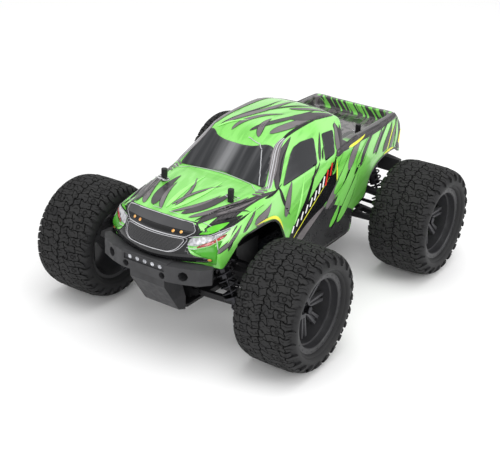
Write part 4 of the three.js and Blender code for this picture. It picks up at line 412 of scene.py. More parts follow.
def glass_finish():
    """Windows painted black behind a glossy clear shell; on the windscreen a painted reflection, lighter streaks and a
    pale upright band down its middle.
    """
    made = Graph("window_black", (0.012, 0.012, 0.014), 0.1, Specular_IOR_Level=0.3, Coat_Weight=0.25, Coat_Roughness=0.05)
    place = made.places()
    x, y, z = made.split(place)
    drawn = made.merge(made.math("DIVIDE", x, 9.0), made.math("DIVIDE", y, 90.0), 0.0)
    haze_and_reflection = made.noise(drawn, 1, 2.0)
    made.put(made.shader.inputs["Roughness"], made.band(haze_and_reflection, 0.3, 0.7, 0.06, 0.25))
    windscreen = made.band(y, -20.0, -35.0)
    # Painted reflection: a pale upright band down the windscreen's middle, and lighter streaks on it.
    shine = made.math("MULTIPLY", made.band(x, -22.0, -6.0), made.band(x, 8.0, -5.0))
    shine = made.math("MULTIPLY", shine, made.band(haze_and_reflection, 0.2, 0.6, 0.5, 1.0))
    haze_and_reflection = made.math("MULTIPLY", made.band(haze_and_reflection, 0.4, 0.8, 0.0, 0.25), windscreen)
    painted_reflection = made.math("ADD", haze_and_reflection, made.math("MULTIPLY", shine, windscreen))
    made.put(made.shader.inputs["Base Color"], made.blend(painted_reflection, (0.016, 0.017, 0.02), (0.2, 0.2, 0.21)))
    made.bump(made.noise(place, 25, 1.0), 0.08)
    return made.material


def grille_finish():
    """Dark woven mesh printed behind the clear shell."""
    made = Graph("grille_mesh", (0.03, 0.03, 0.032), 0.3, Specular_IOR_Level=0.3, Coat_Weight=0.2, Coat_Roughness=0.08)
    x, y, z = made.split(made.places())
    first = made.math("SINE", made.math("MULTIPLY", made.math("ADD", x, z), 3.3))
    second = made.math("SINE", made.math("MULTIPLY", made.math("SUBTRACT", x, z), 3.3))
    weave = made.math("MULTIPLY", first, second)
    colour = made.blend(made.band(weave, -0.2, 0.3), (0.01, 0.01, 0.011), (0.05, 0.05, 0.053))
    made.put(made.shader.inputs["Base Color"], colour)
    made.put(made.shader.inputs["Roughness"], made.band(weave, -0.5, 0.5, 0.2, 0.35))
    made.bump(weave, 0.05)
    return made.material


def lamp_finish(name, colour, second, glow=0.0):
    """A lens whose colour changes across it."""
    made = Graph(name, colour, 0.15, Coat_Weight=1.0, Coat_Roughness=0.04)
    place = made.places()
    facets = made.noise(place, 3.5, 2.0, 0.5, 0.8)
    made.put(made.shader.inputs["Base Color"], made.blend(made.band(facets, 0.42, 0.56), colour, second))
    made.put(made.shader.inputs["Roughness"], made.band(facets, 0.3, 0.7, 0.08, 0.2))
    made.shader.inputs["Emission Color"].default_value = (*colour, 1)
    made.shader.inputs["Emission Strength"].default_value = glow
    made.bump(facets, 0.08)
    return made.material


paint = paint_finish()
shell_inside = plastic_finish("shell_inside", (0.012, 0.012, 0.013), 0.5, 2.0, 0.04)
window_black = glass_finish()
grille_mesh = grille_finish()
rubber = rubber_finish()
dark_plastic = plastic_finish("dark_plastic", (0.009, 0.009, 0.01), 0.42)
grey_plastic = plastic_finish("grey_plastic", (0.03, 0.03, 0.032), 0.5)
wheel_plastic = plastic_finish("wheel_plastic", (0.022, 0.022, 0.024), 0.36, 1.4, 0.03)
spoke_plastic = plastic_finish("spoke_plastic", (0.06, 0.06, 0.064), 0.4, 1.4, 0.03)
steel = metal_finish("steel", (0.75, 0.75, 0.77), 0.22)
black_steel = metal_finish("black_steel", (0.045, 0.045, 0.05), 0.35)
shock_metal = metal_finish("shock_metal", (0.5, 0.51, 0.54), 0.3)
battery_wrap = plastic_finish("battery_wrap", (0.014, 0.016, 0.02), 0.3, 8.0, 0.06)
silver_line = plastic_finish("silver_line", (0.42, 0.42, 0.44), 0.2, 3.0, 0.01)
yellow_line = plastic_finish("yellow_line", YELLOW, 0.22, 3.0, 0.01)
black_line = plastic_finish("black_line", PAINT_BLACK, 0.2, 3.0, 0.01)
grey_paint = plastic_finish("grey_paint", PAINT_GREY, 0.2, 6.0, 0.01)
dark_paint = plastic_finish("dark_paint", PAINT_DARK_GREY, 0.2, 6.0, 0.01)
pale_paint = plastic_finish("pale_paint", LIGHT_GREEN, 0.2, 6.0, 0.01)
lower_black = plastic_finish("lower_black", (0.022, 0.022, 0.023), 0.3, 6.0, 0.01)
white_line = plastic_finish("white_line", (0.78, 0.78, 0.76), 0.25, 3.0, 0.01)
red_line = plastic_finish("red_line", (0.62, 0.03, 0.02), 0.25, 3.0, 0.01)
grille_gloss = plastic_finish("grille_gloss", (0.05, 0.05, 0.053), 0.15, 2.0, 0.02, 0.5)
gloss_black = plastic_finish("gloss_black", PAINT_BLACK, 0.12, 3.0, 0.01, 0.5)
green_paint = accent_green_finish()
# A darker copy of the green, painted shade for the front's forward-facing outer corners.
painted_shade_green = plastic_finish("painted_shade_green", (0.045, 0.26, 0.015), 0.2, 6.0, 0.01)
brow_green = plastic_finish("brow_green", (0.1, 0.48, 0.03), 0.2, 6.0, 0.01)
amber_lamp = lamp_finish("amber_lamp", (0.72, 0.24, 0.02), (0.8, 0.42, 0.08))
clear_lamp = lamp_finish("clear_lamp", (0.5, 0.5, 0.53), (0.3, 0.3, 0.32))
red_lamp = lamp_finish("red_lamp", (0.4, 0.012, 0.01), (0.24, 0.008, 0.008))
led_lens = lamp_finish("led_lens", (0.3, 0.31, 0.34), (0.6, 0.61, 0.65))


# Mesh making


def link_mesh(name, vertices, faces, finishes, body, shade=38):
    """An object from millimetre vertices that rides on a body."""
    mesh = bpy.data.meshes.new(name)
    mesh.from_pydata((np.asarray(vertices, float) * MM).tolist(), [], faces)
    for finish in finishes:
        mesh.materials.append(finish)
    made = bpy.data.objects.new(name, mesh)
    bpy.context.scene.collection.objects.link(made)
    shade_mesh(mesh, shade)
    if body:
        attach(made, body)
    return made


def shade_mesh(mesh, shade):
    mesh.shade_smooth()
    mesh.set_sharp_from_angle(angle=math.radians(shade))


def face_outwards(mesh):
    work = bmesh.new()
    work.from_mesh(mesh)
    bmesh.ops.recalc_face_normals(work, faces=work.faces)
    work.to_mesh(mesh)
    work.free()


def apply_modifiers(made):
    """Turns an object's modifiers into mesh."""
    graph = bpy.context.evaluated_depsgraph_get()
    old = made.data
    made.data = bpy.data.meshes.new_from_object(made.evaluated_get(graph))
    made.modifiers.clear()
    bpy.data.meshes.remove(old)


def add_modifier(made, kind, **settings):
    modifier = made.modifiers.new(kind.lower(), kind)
    for key, value in settings.items():
        setattr(modifier, key, value)
    return modifier


def boolean(made, tool, operation):
    add_modifier(made, "BOOLEAN", operation=operation, object=tool, solver="MANIFOLD")
    apply_modifiers(made)
    bpy.data.objects.remove(tool)


def smooth_curve(points, steps, closed=False):
    """Points on a smooth curve through the given ones."""
    rows = np.asarray(points, float)
    if closed:
        padded = np.vstack([rows[-1:], rows, rows[:2]])
    else:
        padded = np.vstack([2 * rows[0] - rows[1], rows, 2 * rows[-1] - rows[-2]])
    spans = []
    for i in range(len(padded) - 3):
        p0, p1, p2, p3 = padded[i:i + 4]
        t = (np.arange(steps) / steps)[:, None]
        spans.append(
            p1 + (p2 - p0) * t / 2 + (p0 - 2.5 * p1 + 2 * p2 - p3 / 2) * t**2
            + (1.5 * (p1 - p2) + (p3 - p0) / 2) * t**3
        )
    if not closed:
        spans.append(rows[-1:])
    return np.vstack(spans)


def smooth_table(table, shares):
    """Rows between those of a table, on cubic curves through them."""
    rows = np.asarray(table, float)
    before = np.vstack([rows[:1], rows[:-1]])
    after = np.vstack([rows[1:], rows[-1:]])
    slopes = (after - before) / (after[:, :1] - before[:, :1])
    i = np.clip(np.searchsorted(rows[:, 0], shares, side="right") - 1, 0, len(rows) - 2)
    span = rows[i + 1, :1] - rows[i, :1]
    t = (np.asarray(shares)[:, None] - rows[i, :1]) / span
    return (
        (2 * t**3 - 3 * t**2 + 1) * rows[i] + (t**3 - 2 * t**2 + t) * span * slopes[i]
        + (3 * t**2 - 2 * t**3) * rows[i + 1] + (t**3 - t**2) * span * slopes[i + 1]
    )


def rounded(points, rounds=2):
    """An open line with its corners cut again and again until they look round."""
    rows = np.asarray(points, float)
    for _ in range(rounds):
        nearer = rows[:-1] * 0.75 + rows[1:] * 0.25
        farther = rows[:-1] * 0.25 + rows[1:] * 0.75
        rows = np.vstack([rows[:1], np.stack([nearer, farther], 1).reshape(-1, rows.shape[1]), rows[-1:]])
    return rows


def rounded_loop(points, rounds=2):
    """The same for a closed outline."""
    rows = np.asarray(points, float)
    for _ in range(rounds):
        following = np.roll(rows, -1, 0)
        rows = np.stack([rows * 0.8 + following * 0.2, rows * 0.2 + following * 0.8], 1).reshape(-1, rows.shape[1])
    return rows


def grid_faces(rows, columns, wrap):
    """Quads between neighbouring rows of points; wrap joins each row's ends."""
    faces = []
    last = columns if wrap else columns - 1
    for r in range(rows - 1):
        for c in range(last):
            d = (c + 1) % columns
            faces.append((r * columns + c, r * columns + d, (r + 1) * columns + d, (r + 1) * columns + c))
    return faces


def closed_loft(name, rings, finishes=(), body=None):
    """A closed solid through rings of points."""
    rings = np.asarray(rings, float)
    count, size, _ = rings.shape
    faces = grid_faces(count, size, True)
    faces.append(tuple(range(size))[::-1])
    faces.append(tuple(range((count - 1) * size, count * size)))
    made = link_mesh(name, rings.reshape(-1, 3), faces, finishes, body)
    face_outwards(made.data)
    return made


def turned_points(profile, sides):
    """Rings of a profile of (x, radius) turned about the x axis."""
    profile = np.asarray(profile, float)
    angles = np.arange(sides) * FULL_TURN / sides
    x = np.repeat(profile[:, :1], sides, 1)
    y = profile[:, 1:] * np.cos(angles)
    z = profile[:, 1:] * np.sin(angles)
    return np.stack([x, y, z], 2)


# Body shell


def soft_corners(outline, radius, steps=4, closed=True):
    """An outline with each corner rounded over a set distance."""
    rows = np.asarray(outline, float)
    made = []
    for i, corner in enumerate(rows):
        if not closed and i in (0, len(rows) - 1):
            made.append(corner)
            continue
        before, after = rows[i - 1] - corner, rows[(i + 1) % len(rows)] - corner
        lengths = np.linalg.norm(before), np.linalg.norm(after)
        first = corner + before / lengths[0] * min(radius, lengths[0] * 0.45)
        last = corner + after / lengths[1] * min(radius, lengths[1] * 0.45)
        for t in np.linspace(0, 1, steps):
            made.append(first * (1 - t) ** 2 + corner * 2 * t * (1 - t) + last * t**2)
    return np.array(made)


def section_ring(half, y):
    """A closed section from half of it, crown first."""
    whole = soft_corners(np.vstack([half[1] * (-1, 1), half]), SECTION_CORNER, 5, False)[3:]
    mirrored = (whole * (-1, 1))[:0:-1]
    ring = np.vstack([whole, mirrored])
    return np.column_stack([ring[:, 0], np.full(len(ring), y), ring[:, 1]])


def crown_points(crown, edge, edge_x):
    share = 0.55
    return [(0, crown), (edge_x * share, crown - (crown - edge) * share**2), (edge_x, edge)]


def lower_rings(count):
    rings = []
    for row in smooth_table(lower_body_shares, np.linspace(0, 1, count)):
        crown, edge, shoulder, waist = row[1:5] * ROOF_Z
        edge_x, shoulder_x, waist_x, sill_x = row[5:9] * BODY_HALF_WIDTH
        half = crown_points(crown, edge, edge_x) + [
            ((edge_x + shoulder_x) / 2 + 0.8, (edge + shoulder) / 2 + 0.8),
            (shoulder_x, shoulder), (waist_x, waist), (sill_x, SHELL_FLOOR_Z),
        ]
        rings.append(section_ring(np.array(half), (row[0] - 0.5) * BODY_LENGTH))
    return rings


def cab_rings(count):
    rings = []
    for row in smooth_table(cab_shares, np.linspace(cab_shares[0][0], cab_shares[-1][0], count)):
        crown, edge = row[1:3] * ROOF_Z
        edge_x, belt_x = row[3:5] * BODY_HALF_WIDTH
        belt = row[5] * ROOF_Z
        half = crown_points(crown, edge, edge_x) + [
            ((edge_x + belt_x) / 2 + 0.8, (edge + belt) / 2 + 0.8), (belt_x, belt), (belt_x - 1.6, belt - 15),
        ]
        rings.append(section_ring(np.array(half), (row[0] - 0.5) * BODY_LENGTH))
    return rings


def end_rings(count):
    rings = []
    shares = np.linspace(-1, 1, 41)
    half_length = BODY_LENGTH / 2
    for row in smooth_table(end_shares, np.linspace(0, end_shares[-1][0], count)):
        nose = -row[1] * half_length + row[3] * BODY_HALF_WIDTH * shares**2
        tail = row[2] * half_length - row[4] * BODY_HALF_WIDTH * shares**2
        x = np.concatenate([shares, shares[::-1]]) * END_HALF_WIDTH
        y = np.concatenate([nose, tail[::-1]])
        rings.append(np.column_stack([x, y, np.full(len(x), row[0] * ROOF_Z)]))
    return rings


def upright_prism(name, outline, low, high):
    """A solid over an outline seen from above."""
    outline = np.asarray(outline, float)
    rings = [np.column_stack([outline, np.full(len(outline), z)]) for z in (low, high)]
    return closed_loft(name, rings)


def cab_back(x):
    return CAB_BACK_Y - CAB_BACK_CORNER * np.minimum(np.abs(x) / BED_HALF_WIDTH, 1.3) ** 3


def bed_space(name, half_width, corner, tail, low, high):
    """The space behind the cab down to a height."""
    x = np.linspace(-half_width, half_width, 31)
    front = np.column_stack([x, cab_back(x)])
    back = [
        (half_width, tail - corner), (half_width - corner, tail),
        (corner - half_width, tail), (-half_width, tail - corner),
    ]
    return upright_prism(name, np.vstack([front, back]), low, high)


def sill_line():
    """The lower edge in millimetres, with rounded arches."""
    return rounded(np.array(sill_shares) * (BODY_LENGTH / 2, ROOF_Z), 2)


def below_shell():
    """Everything under the shell's lower edge; its faces carry the second finish."""
    line = sill_line()
    outline = np.vstack([line, [(line[-1, 0], 0), (line[0, 0], 0)]])
    rings = [np.column_stack([np.full(len(outline), x), outline]) for x in (-90, 90)]
    made = closed_loft("below_shell", rings, (paint, shell_inside))
    for face in made.data.polygons:
        face.material_index = 1
    return made


def outer_skin():
    """The shell's outside as one evenly meshed open skin."""
    skin = closed_loft("body_paint", lower_rings(70), (paint, shell_inside))
    boolean(skin, closed_loft("cab", cab_rings(50)), "UNION")
    boolean(skin, closed_loft("ends", end_rings(60)), "INTERSECT")
    boolean(skin, bed_space("over_rails", 90, 1, 240, RAIL_TOP_Z, 240), "DIFFERENCE")
    boolean(skin, bed_space("bed", BED_HALF_WIDTH, BED_CORNER, BED_TAIL_Y, BED_FLOOR_Z, 200), "DIFFERENCE")
    add_modifier(skin, "REMESH", mode="VOXEL", voxel_size=SHELL_VOXEL * MM)
    add_modifier(skin, "SMOOTH", factor=0.5, iterations=SHELL_SMOOTHING)
    apply_modifiers(skin)
    boolean(skin, below_shell(), "DIFFERENCE")
    work = bmesh.new()
    work.from_mesh(skin.data)
    bmesh.ops.delete(work, geom=[f for f in work.faces if f.material_index == 1], context="FACES")
    work.to_mesh(skin.data)
    work.free()
    return skin


skin = outer_skin()
skin_tree = BVHTree.FromPolygons(
    [v.co.copy() for v in skin.data.vertices], [tuple(f.vertices) for f in skin.data.polygons]
)
add_modifier(
    skin, "SOLIDIFY", thickness=SHELL_WALL * MM, offset=-1, material_offset=1, material_offset_rim=1,
    use_even_offset=True,
)
apply_modifiers(skin)
shade_mesh(skin.data, 40)
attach(skin, "chassis")
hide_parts("body_shell")


# Thin pieces laid on the shell

# For each side: the axes that an outline's two places run along, and the way in
SKIN_SIDES = {
    "left": ((0, 1, 0), (0, 0, 1), (-1, 0, 0)),
    "right": ((0, 1, 0), (0, 0, 1), (1, 0, 0)),
    "front": ((1, 0, 0), (0, 0, 1), (0, 1, 0)),
    "rear": ((1, 0, 0), (0, 0, 1), (0, -1, 0)),
    "top": ((1, 0, 0), (0, 1, 0), (0, 0, -1)),
}
FLANKS = ("left", "right")
CAST_FROM = 400
PATH_STEP = 2.5
STRIP_COLUMN = 1.8
FILM_LIFT = 0.22
FILM_STEP = 0.005
WINDOW_LIFT = 0.6
SHEET_THICKNESS = 0.3


def cast(u, v, side):
    """The point of the shell met from a side, and its outward direction, or None."""
    across, up, inward = (Vector(axis) for axis in SKIN_SIDES[side])
    start = across * u + up * v - inward * CAST_FROM
    place, normal, _, _ = skin_tree.ray_cast(start * MM, inward)
    if place is None:
        return None
    if normal.dot(inward) > 0:
        normal = -normal
    return np.array(place) / MM, np.array(normal)


def nearest(point, outward):
    """The point of the shell nearest to a place, and its direction turned like the given one."""
    place, normal, _, _ = skin_tree.find_nearest(Vector(point) * MM)
    normal = np.array(normal)
    return np.array(place) / MM, normal if np.dot(normal, outward) > 0 else -normal


def laid_faces(points, faces):
    """Drops the faces that have a corner off the shell."""
    kept = [face for face in faces if all(points[i] is not None for i in face)]
    used = sorted({i for face in kept for i in face})
    number = {old: new for new, old in enumerate(used)}
    return [points[i] for i in used], [tuple(number[i] for i in face) for face in kept]


def flat_grid(outline, spacing):
    """An outline cut into a grid: its points and faces."""
    work = bmesh.new()
    work.faces.new([work.verts.new((u, v, 0)) for u, v in outline])
    low, high = np.min(outline, 0), np.max(outline, 0)
    for axis in (0, 1):
        normal = (1, 0, 0) if axis == 0 else (0, 1, 0)
        for step in np.arange(low[axis] + spacing, high[axis], spacing):
            everything = work.verts[:] + work.edges[:] + work.faces[:]
            bmesh.ops.bisect_plane(work, geom=everything, plane_co=Vector(normal) * step, plane_no=normal)
    work.verts.index_update()
    points = [(v.co.x, v.co.y) for v in work.verts]
    faces = [tuple(v.index for v in f.verts) for f in work.faces]
    work.free()
    return points, faces


def panel(name, outline, side, finish, lift=FILM_LIFT, spacing=2.5):
    """A thin sheet of an outline, laid on the shell."""
    flat, faces = flat_grid(outline, spacing)
    met = [cast(u, v, side) for u, v in flat]
    points, faces = laid_faces([m and m[0] + m[1] * lift for m in met], faces)
    made = link_mesh(f"{name}_{side}", points, faces, [finish], "chassis", 60)
    direction = -Vector(SKIN_SIDES[side][2])
    turned = sum((f.normal.dot(direction) * f.area for f in made.data.polygons), 0.0) < 0
    if turned:
        made.data.flip_normals()
    add_modifier(made, "SOLIDIFY", thickness=SHEET_THICKNESS * MM, offset=-1)
    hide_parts("body_shell")
    return made


def strip(path, widths, side, lift):
    """Points and faces of a strip of changing width along a path on the shell."""
    columns = 2 * math.ceil(max(widths) / STRIP_COLUMN / 2) + 1
    met = [(cast(*place, side) if side else nearest(place, (0, 0, 1)), width) for place, width in zip(path, widths)]
    met = [(m[0], m[1], width) for m, width in met if m is not None]
    if len(met) < 3:
        return [], []
    places = np.array([m[0] for m in met])
    ahead = np.gradient(places, axis=0)
    points = []
    for (place, normal, width), step in zip(met, ahead):
        across = np.cross(normal, step)
        across /= np.linalg.norm(across)
        for share in np.linspace(-0.5, 0.5, columns):
            spot, out = nearest(place + across * width * share, normal)
            points.append(spot + out * lift)
    return points, grid_faces(len(met), columns, False)


def strips(name, rows, finish):
    """Strips of one finish as one thin piece. Each is (path, widths, side, lift)."""
    vertices, faces = [], []
    for row in rows:
        points, quads = strip(*row)
        faces += [tuple(i + len(vertices) for i in quad) for quad in quads]
        vertices += points
    made = link_mesh(name, vertices, faces, [finish], "chassis", 60)
    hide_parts("body_shell")
    return made


def bow(start, end, bend):
    """A bowed line between two places, bent sideways at its middle."""
    start, end = np.array(start, float), np.array(end, float)
    length = np.linalg.norm(end - start)
    ahead = (end - start) / length
    middle = (start + end) / 2 + np.array([-ahead[1], ahead[0]]) * bend * 2
    t = np.linspace(0, 1, max(6, int(length / PATH_STEP)))[:, None]
    return start * (1 - t) ** 2 + middle * 2 * t * (1 - t) + end * t**2


def blade_widths(path, width, widest=0.35):
    """Pointed at both ends and widest at a share of the way along."""
    t = np.linspace(0, 1, len(path))
    power = math.log(0.5) / math.log(widest)
    return width * np.sin(np.pi * np.clip(t, 0, 1) ** power) ** 0.8 + 0.1


def even_widths(path, width):
    return np.full(len(path), width)


# Windows

SIDE_WINDOW = [(-61, 146), (6, 149), (11.5, 175), (-11.6, 176.5), (-25, 174.5), (-32, 170.5)]
QUARTER_WINDOW = [(21.5, 147.5), (42, 150), (49, 173), (27, 174.5)]
WINDSCREEN = [
    (-53, 148), (0, 151.5), (53, 148), (40.3, 178.5), (31.2, 179.2), (25.5, 177.8), (18.1, 175.6), (6, 174.6),
    (-16.5, 174.8), (-28, 176.5), (-33.9, 179.8), (-40.5, 180),
]
REAR_WINDOW = [(-36, 158), (36, 158), (31, 178), (-31, 178)]


def make_windows():
    for side in FLANKS:
        panel("side_window", soft_corners(SIDE_WINDOW, 3), side, window_black, WINDOW_LIFT)
        panel("quarter_window", soft_corners(QUARTER_WINDOW, 2.5), side, window_black, WINDOW_LIFT)
    panel("windscreen", soft_corners(WINDSCREEN, 3.5), "front", window_black, WINDOW_LIFT)
    panel("rear_window", soft_corners(REAR_WINDOW, 4), "rear", window_black, WINDOW_LIFT)


# Face

FACE_BAND = [
    (-60, 107), (-40, 106.4), (40, 106.4), (60, 107), (60, 110.5), (46, 113), (40, 117.5), (36.5, 126), (43.5, 131),
    (46, 136), (40, 141.1), (-40, 141.1), (-46, 136), (-43.5, 131), (-36.5, 126), (-40, 117.5), (-46, 113),
    (-60, 110.5),
]
UPPER_GRILLE = [(-33.5, 127.5), (33.5, 127.5), (41.5, 133.5), (38.5, 140.6), (-38.5, 140.6), (-41.5, 133.5)]
LAMP_BAR = [(-33.5, 128.5), (33.5, 128.5), (40, 133), (-40, 133)]
LOWER_GRILLE = [(-23, 114.5), (23, 114.5), (30, 117.5), (34.5, 126), (-34.5, 126), (-30, 117.5)]
BROW = [(44, 131.2), (57, 133.2), (58, 136.6), (50, 137.2)]
BROW_EDGE = [(41, 129.3), (59, 131.6), (60.5, 138), (50, 139.4)]
HEADLIGHT = [(37.5, 121.5), (45, 121.3), (56, 126), (61, 130.2), (61.5, 132.3), (47.7, 129.6), (38.5, 127.4)]
HEADLIGHT_EDGE = [(46, 119.6), (56, 122.4), (62, 127), (61.5, 130), (56.5, 126.2), (47, 121.6)]
CORNER_FIELD = [(41, 118.5), (47, 118.8), (56, 121.6), (62, 126), (64, 112), (62, 103), (56.5, 105), (54, 112)]
CORNER_LAMP = (58, 109.5)
BAR_LAMPS = [(20, 130.8), (28, 131.1)]
LAMP_SIZE = 1.5
FACE_LIFT = 0.6


TAIL_LAMP = [(43, 127), (53, 128), (55, 145), (46, 146)]
TAILGATE = [(-39, 118), (39, 118), (42, 146), (-42, 146)]


def mirrored(outline):
    return [(-u, v) for u, v in outline][::-1]


def disc(u, v, size):
    angles = np.linspace(0, FULL_TURN, 16, endpoint=False)
    return np.column_stack([u + size * np.cos(angles), v + size * 0.85 * np.sin(angles)])


def spread(path):
    """The same line with points at even steps."""
    rows = np.asarray(path, float)
    run = np.concatenate([[0], np.cumsum(np.linalg.norm(np.diff(rows, axis=0), axis=1))])
    places = np.linspace(0, run[-1], max(4, int(run[-1] / PATH_STEP)))
    return np.column_stack([np.interp(places, run, rows[:, k]) for k in (0, 1)])


def edge_of(outline, width, lift, radius=2):
    loop = soft_corners(outline, radius)
    path = spread(np.vstack([loop, loop[:1]]))
    return path, even_widths(path, width), "front", lift


def make_face():
    """The painted front: grilles, headlights, lamps and their outlines, and a darker green as painted shade on its
    outer corners.
    """
    panel("face_band", soft_corners(FACE_BAND, 4), "front", gloss_black, FACE_LIFT)
    panel("upper_grille", soft_corners(UPPER_GRILLE, 2), "front", grille_gloss, FACE_LIFT + 0.15)
    panel("lamp_bar", soft_corners(LAMP_BAR, 2), "front", black_line, FACE_LIFT + 0.3)
    panel("lower_grille", soft_corners(LOWER_GRILLE, 3), "front", grille_mesh, FACE_LIFT + 0.15)
    outlines = [
        edge_of(UPPER_GRILLE, 0.55, FACE_LIFT + 0.5, 2), edge_of(LOWER_GRILLE, 0.55, FACE_LIFT + 0.5, 3),
        edge_of([(u * 1.08, 116.5 + (v - 116.5) * 1.12) for u, v in LOWER_GRILLE], 0.45, FACE_LIFT + 0.4, 3),
    ]
    strips("grille_outlines", outlines, silver_line)
    path = spread([(-58, 107.4), (58, 107.4)])
    strips("nose_lip", [(path, even_widths(path, 2.8), "front", FACE_LIFT - 0.1)], black_line)
    for name, flip in (("left", False), ("right", True)):
        turn = -1 if flip else 1
        # The corner fields take the darker green as painted shade on the forward-facing corners.
        shapes = [
            ("shaded_corner_field", CORNER_FIELD, painted_shade_green, FACE_LIFT - 0.05), ("brow", BROW, brow_green, FACE_LIFT + 0.1),
            ("brow_edge", BROW_EDGE, black_line, FACE_LIFT - 0.1),
            ("headlight_edge", HEADLIGHT_EDGE, red_lamp, FACE_LIFT + 0.2),
            ("headlight", HEADLIGHT, clear_lamp, FACE_LIFT + 0.35),
        ]
        for kind, outline, finish, lift in shapes:
            outline = mirrored(outline) if flip else outline
            panel(f"{kind}_{name}", soft_corners(outline, 1.5), "front", finish, lift)
        lamps = BAR_LAMPS + [CORNER_LAMP]
        for number, (u, v) in enumerate(lamps):
            panel(f"lamp_{name}_{number}", disc(u * turn, v, LAMP_SIZE), "front", amber_lamp, FACE_LIFT + 0.6, 1.2)
        shapes = [
            [(36.5 * turn, 127.8), (47.7 * turn, 130.4), (61.5 * turn, 133)],
            [(38 * turn, 119.8), (44 * turn, 118.9), (47 * turn, 119.4)],
        ]
        rows = []
        for shape in shapes:
            path = smooth_curve(shape, 6)
            rows.append((path, even_widths(path, 0.6), "front", FACE_LIFT + 0.6))
        strips(f"headlight_lines_{name}", rows, silver_line)


def make_tail():
    """Tail lamps and the tailgate's outline."""
    for name, outline in (("left", TAIL_LAMP), ("right", mirrored(TAIL_LAMP))):
        panel(f"tail_lamp_{name}", soft_corners(outline, 2), "rear", red_lamp, FACE_LIFT)
    loop = soft_corners(TAILGATE, 3)
    path = spread(np.vstack([loop, loop[:1]]))
    strips("tailgate_outline", [(path, even_widths(path, 0.9), "rear", FACE_LIFT)], black_line)


# Painted blades: start, end, bend, width and colour. On the sides they are given along and up, on top
# across and along; those of the hood are drawn on both halves

side_blades = [
    # fender
    ((-190, 131), (-72, 146), 3, 10, "dark"), ((-188, 126), (-96, 139), 2, 2.4, "black"),
    ((-180, 116), (-134, 132), -3, 4, "grey"), ((-160, 113), (-140, 133), 2, 4, "dark"),
    ((-136, 124), (-108, 140), -1.5, 3, "grey"), ((-116, 126), (-84, 137), -4, 10, "grey"),
    ((-160, 121), (-100, 139), 4, 2, "pale"), ((-92, 143), (-60, 149), -1, 2.4, "black"),
    # door
    ((-68, 148), (-50, 112), -2, 4.5, "black"), ((-58, 112), (-44, 147), 2, 10, "grey"),
    ((-40, 96), (-20, 148), -1, 4, "pale"), ((-50, 82), (4, 150), -4, 8, "black"),
    ((-8, 136), (12, 150), -1, 2.4, "dark"),
    # front pillar
    ((-72, 146), (-22, 184), 4, 9, "dark"), ((-64, 150), (-30, 178), 3, 2, "black"),
    # under the door's diagonal
    ((-56, 66), (40, 142), 2, 22, "black"), ((-52, 58), (34, 108), 4, 16, "black"),
    ((-50, 63), (26, 98), 3, 11, "grey"), ((-46, 77), (30, 128), 1.5, 1.2, "yellow"),
    # quarter
    ((12, 150), (25, 177), 1, 3.4, "dark"), ((18, 150), (24, 162), 1, 3, "black"),
    ((36, 128), (64, 152), 2, 9, "green"), ((36, 130), (44, 148), -1, 4, "black"),
    ((45, 118), (46, 142), 0, 2.2, "yellow"), ((24, 92), (56, 126), -3, 12, "grey"),
    ((30, 90), (50, 100), -2, 6, "dark"), ((40, 104), (74, 142), -4, 13, "green"),
    ((36, 66), (56, 92), -3, 8, "green"), ((40, 62), (86, 112), -3, 3.4, "black"),
    ((52, 66), (96, 122), -5, 13, "green"), ((58, 108), (92, 148), -2, 3, "black"),
    ((50, 148), (58, 179), 1, 8, "grey"), ((58, 146), (66, 174), 1, 8, "dark"), ((44, 147), (70, 152), 0, 7, "dark"),
    # bed
    ((60, 152), (202, 153), -2, 9, "dark"), ((70, 122), (104, 154), 3, 11, "grey"),
    ((88, 120), (118, 148), -3, 13, "green"), ((84, 112), (98, 124), 1, 3.4, "black"),
    ((96, 118), (132, 152), 4, 6, "dark"), ((126, 124), (150, 150), -2, 5, "grey"),
    ((132, 121), (168, 152), 4, 5, "black"), ((150, 119), (176, 148), -2, 9, "dark"),
    ((160, 116), (182, 144), 2, 1.8, "yellow"), ((166, 112), (190, 146), 2, 6, "grey"),
    ((180, 114), (190, 148), -2, 6, "green"), ((192, 112), (204, 142), 1, 5, "yellow"),
    ((72, 148), (112, 151), -1, 3, "yellow"), ((186, 118), (203, 104), 2, 6, "black"),
]
hood_blades = [
    ((17, -170), (33, -104), -4, 9, "dark"), ((6, -172), (27, -118), -4, 4, "grey"),
    ((27, -172), (50, -104), -4, 6, "grey"), ((36, -174), (58, -98), 3, 2.4, "black"),
    ((3, -168), (11, -92), -3, 5, "pale"), ((-2, -160), (16, -100), 4, 3, "grey"),
    ((40, -176), (61, -118), 5, 5, "dark"), ((44, -150), (57, -96), -2, 3, "grey"),
]
roof_blades = [
    ((-40, -38), (-30, 66), 6, 11, "grey"), ((-44, -30), (-41, 50), -1, 3, "black"),
    ((-33, -40), (-14, 52), -5, 3, "black"), ((-30, -36), (-2, 60), -6, 7, "grey"),
    ((-16, -42), (14, 14), 5, 5, "grey"), ((4, -38), (30, 46), -5, 6, "dark"),
    ((18, -42), (10, -6), 3, 6, "grey"), ((-8, 10), (36, 74), 4, 3, "black"),
    ((26, -34), (36, 40), -4, 10, "grey"), ((42, -36), (43, 36), 1, 3.4, "black"),
    ((-42, 66), (40, 70), 3, 8, "dark"), ((-20, 74), (44, 62), -2, 4, "black"),
    ((24, 6), (44, 62), -3, 15, "dark"), ((8, 30), (38, 66), -3, 6, "grey"),
    ((-34, -42), (-8, -22), 2, 3, "pale"),
]
EDGE_EXTRA = 1.3
REAR_PILLAR_FIELD = [(49.6, 147), (52.5, 177), (58, 178), (73, 154), (73, 146)]
DIAGONAL_FIELD = [(-50, 62), (-44, 76), (32, 136), (45, 141), (46, 120), (34, 104), (6, 92)]
TAIL_FIELD = [(178, 112), (186, 148), (203, 148), (204, 108)]


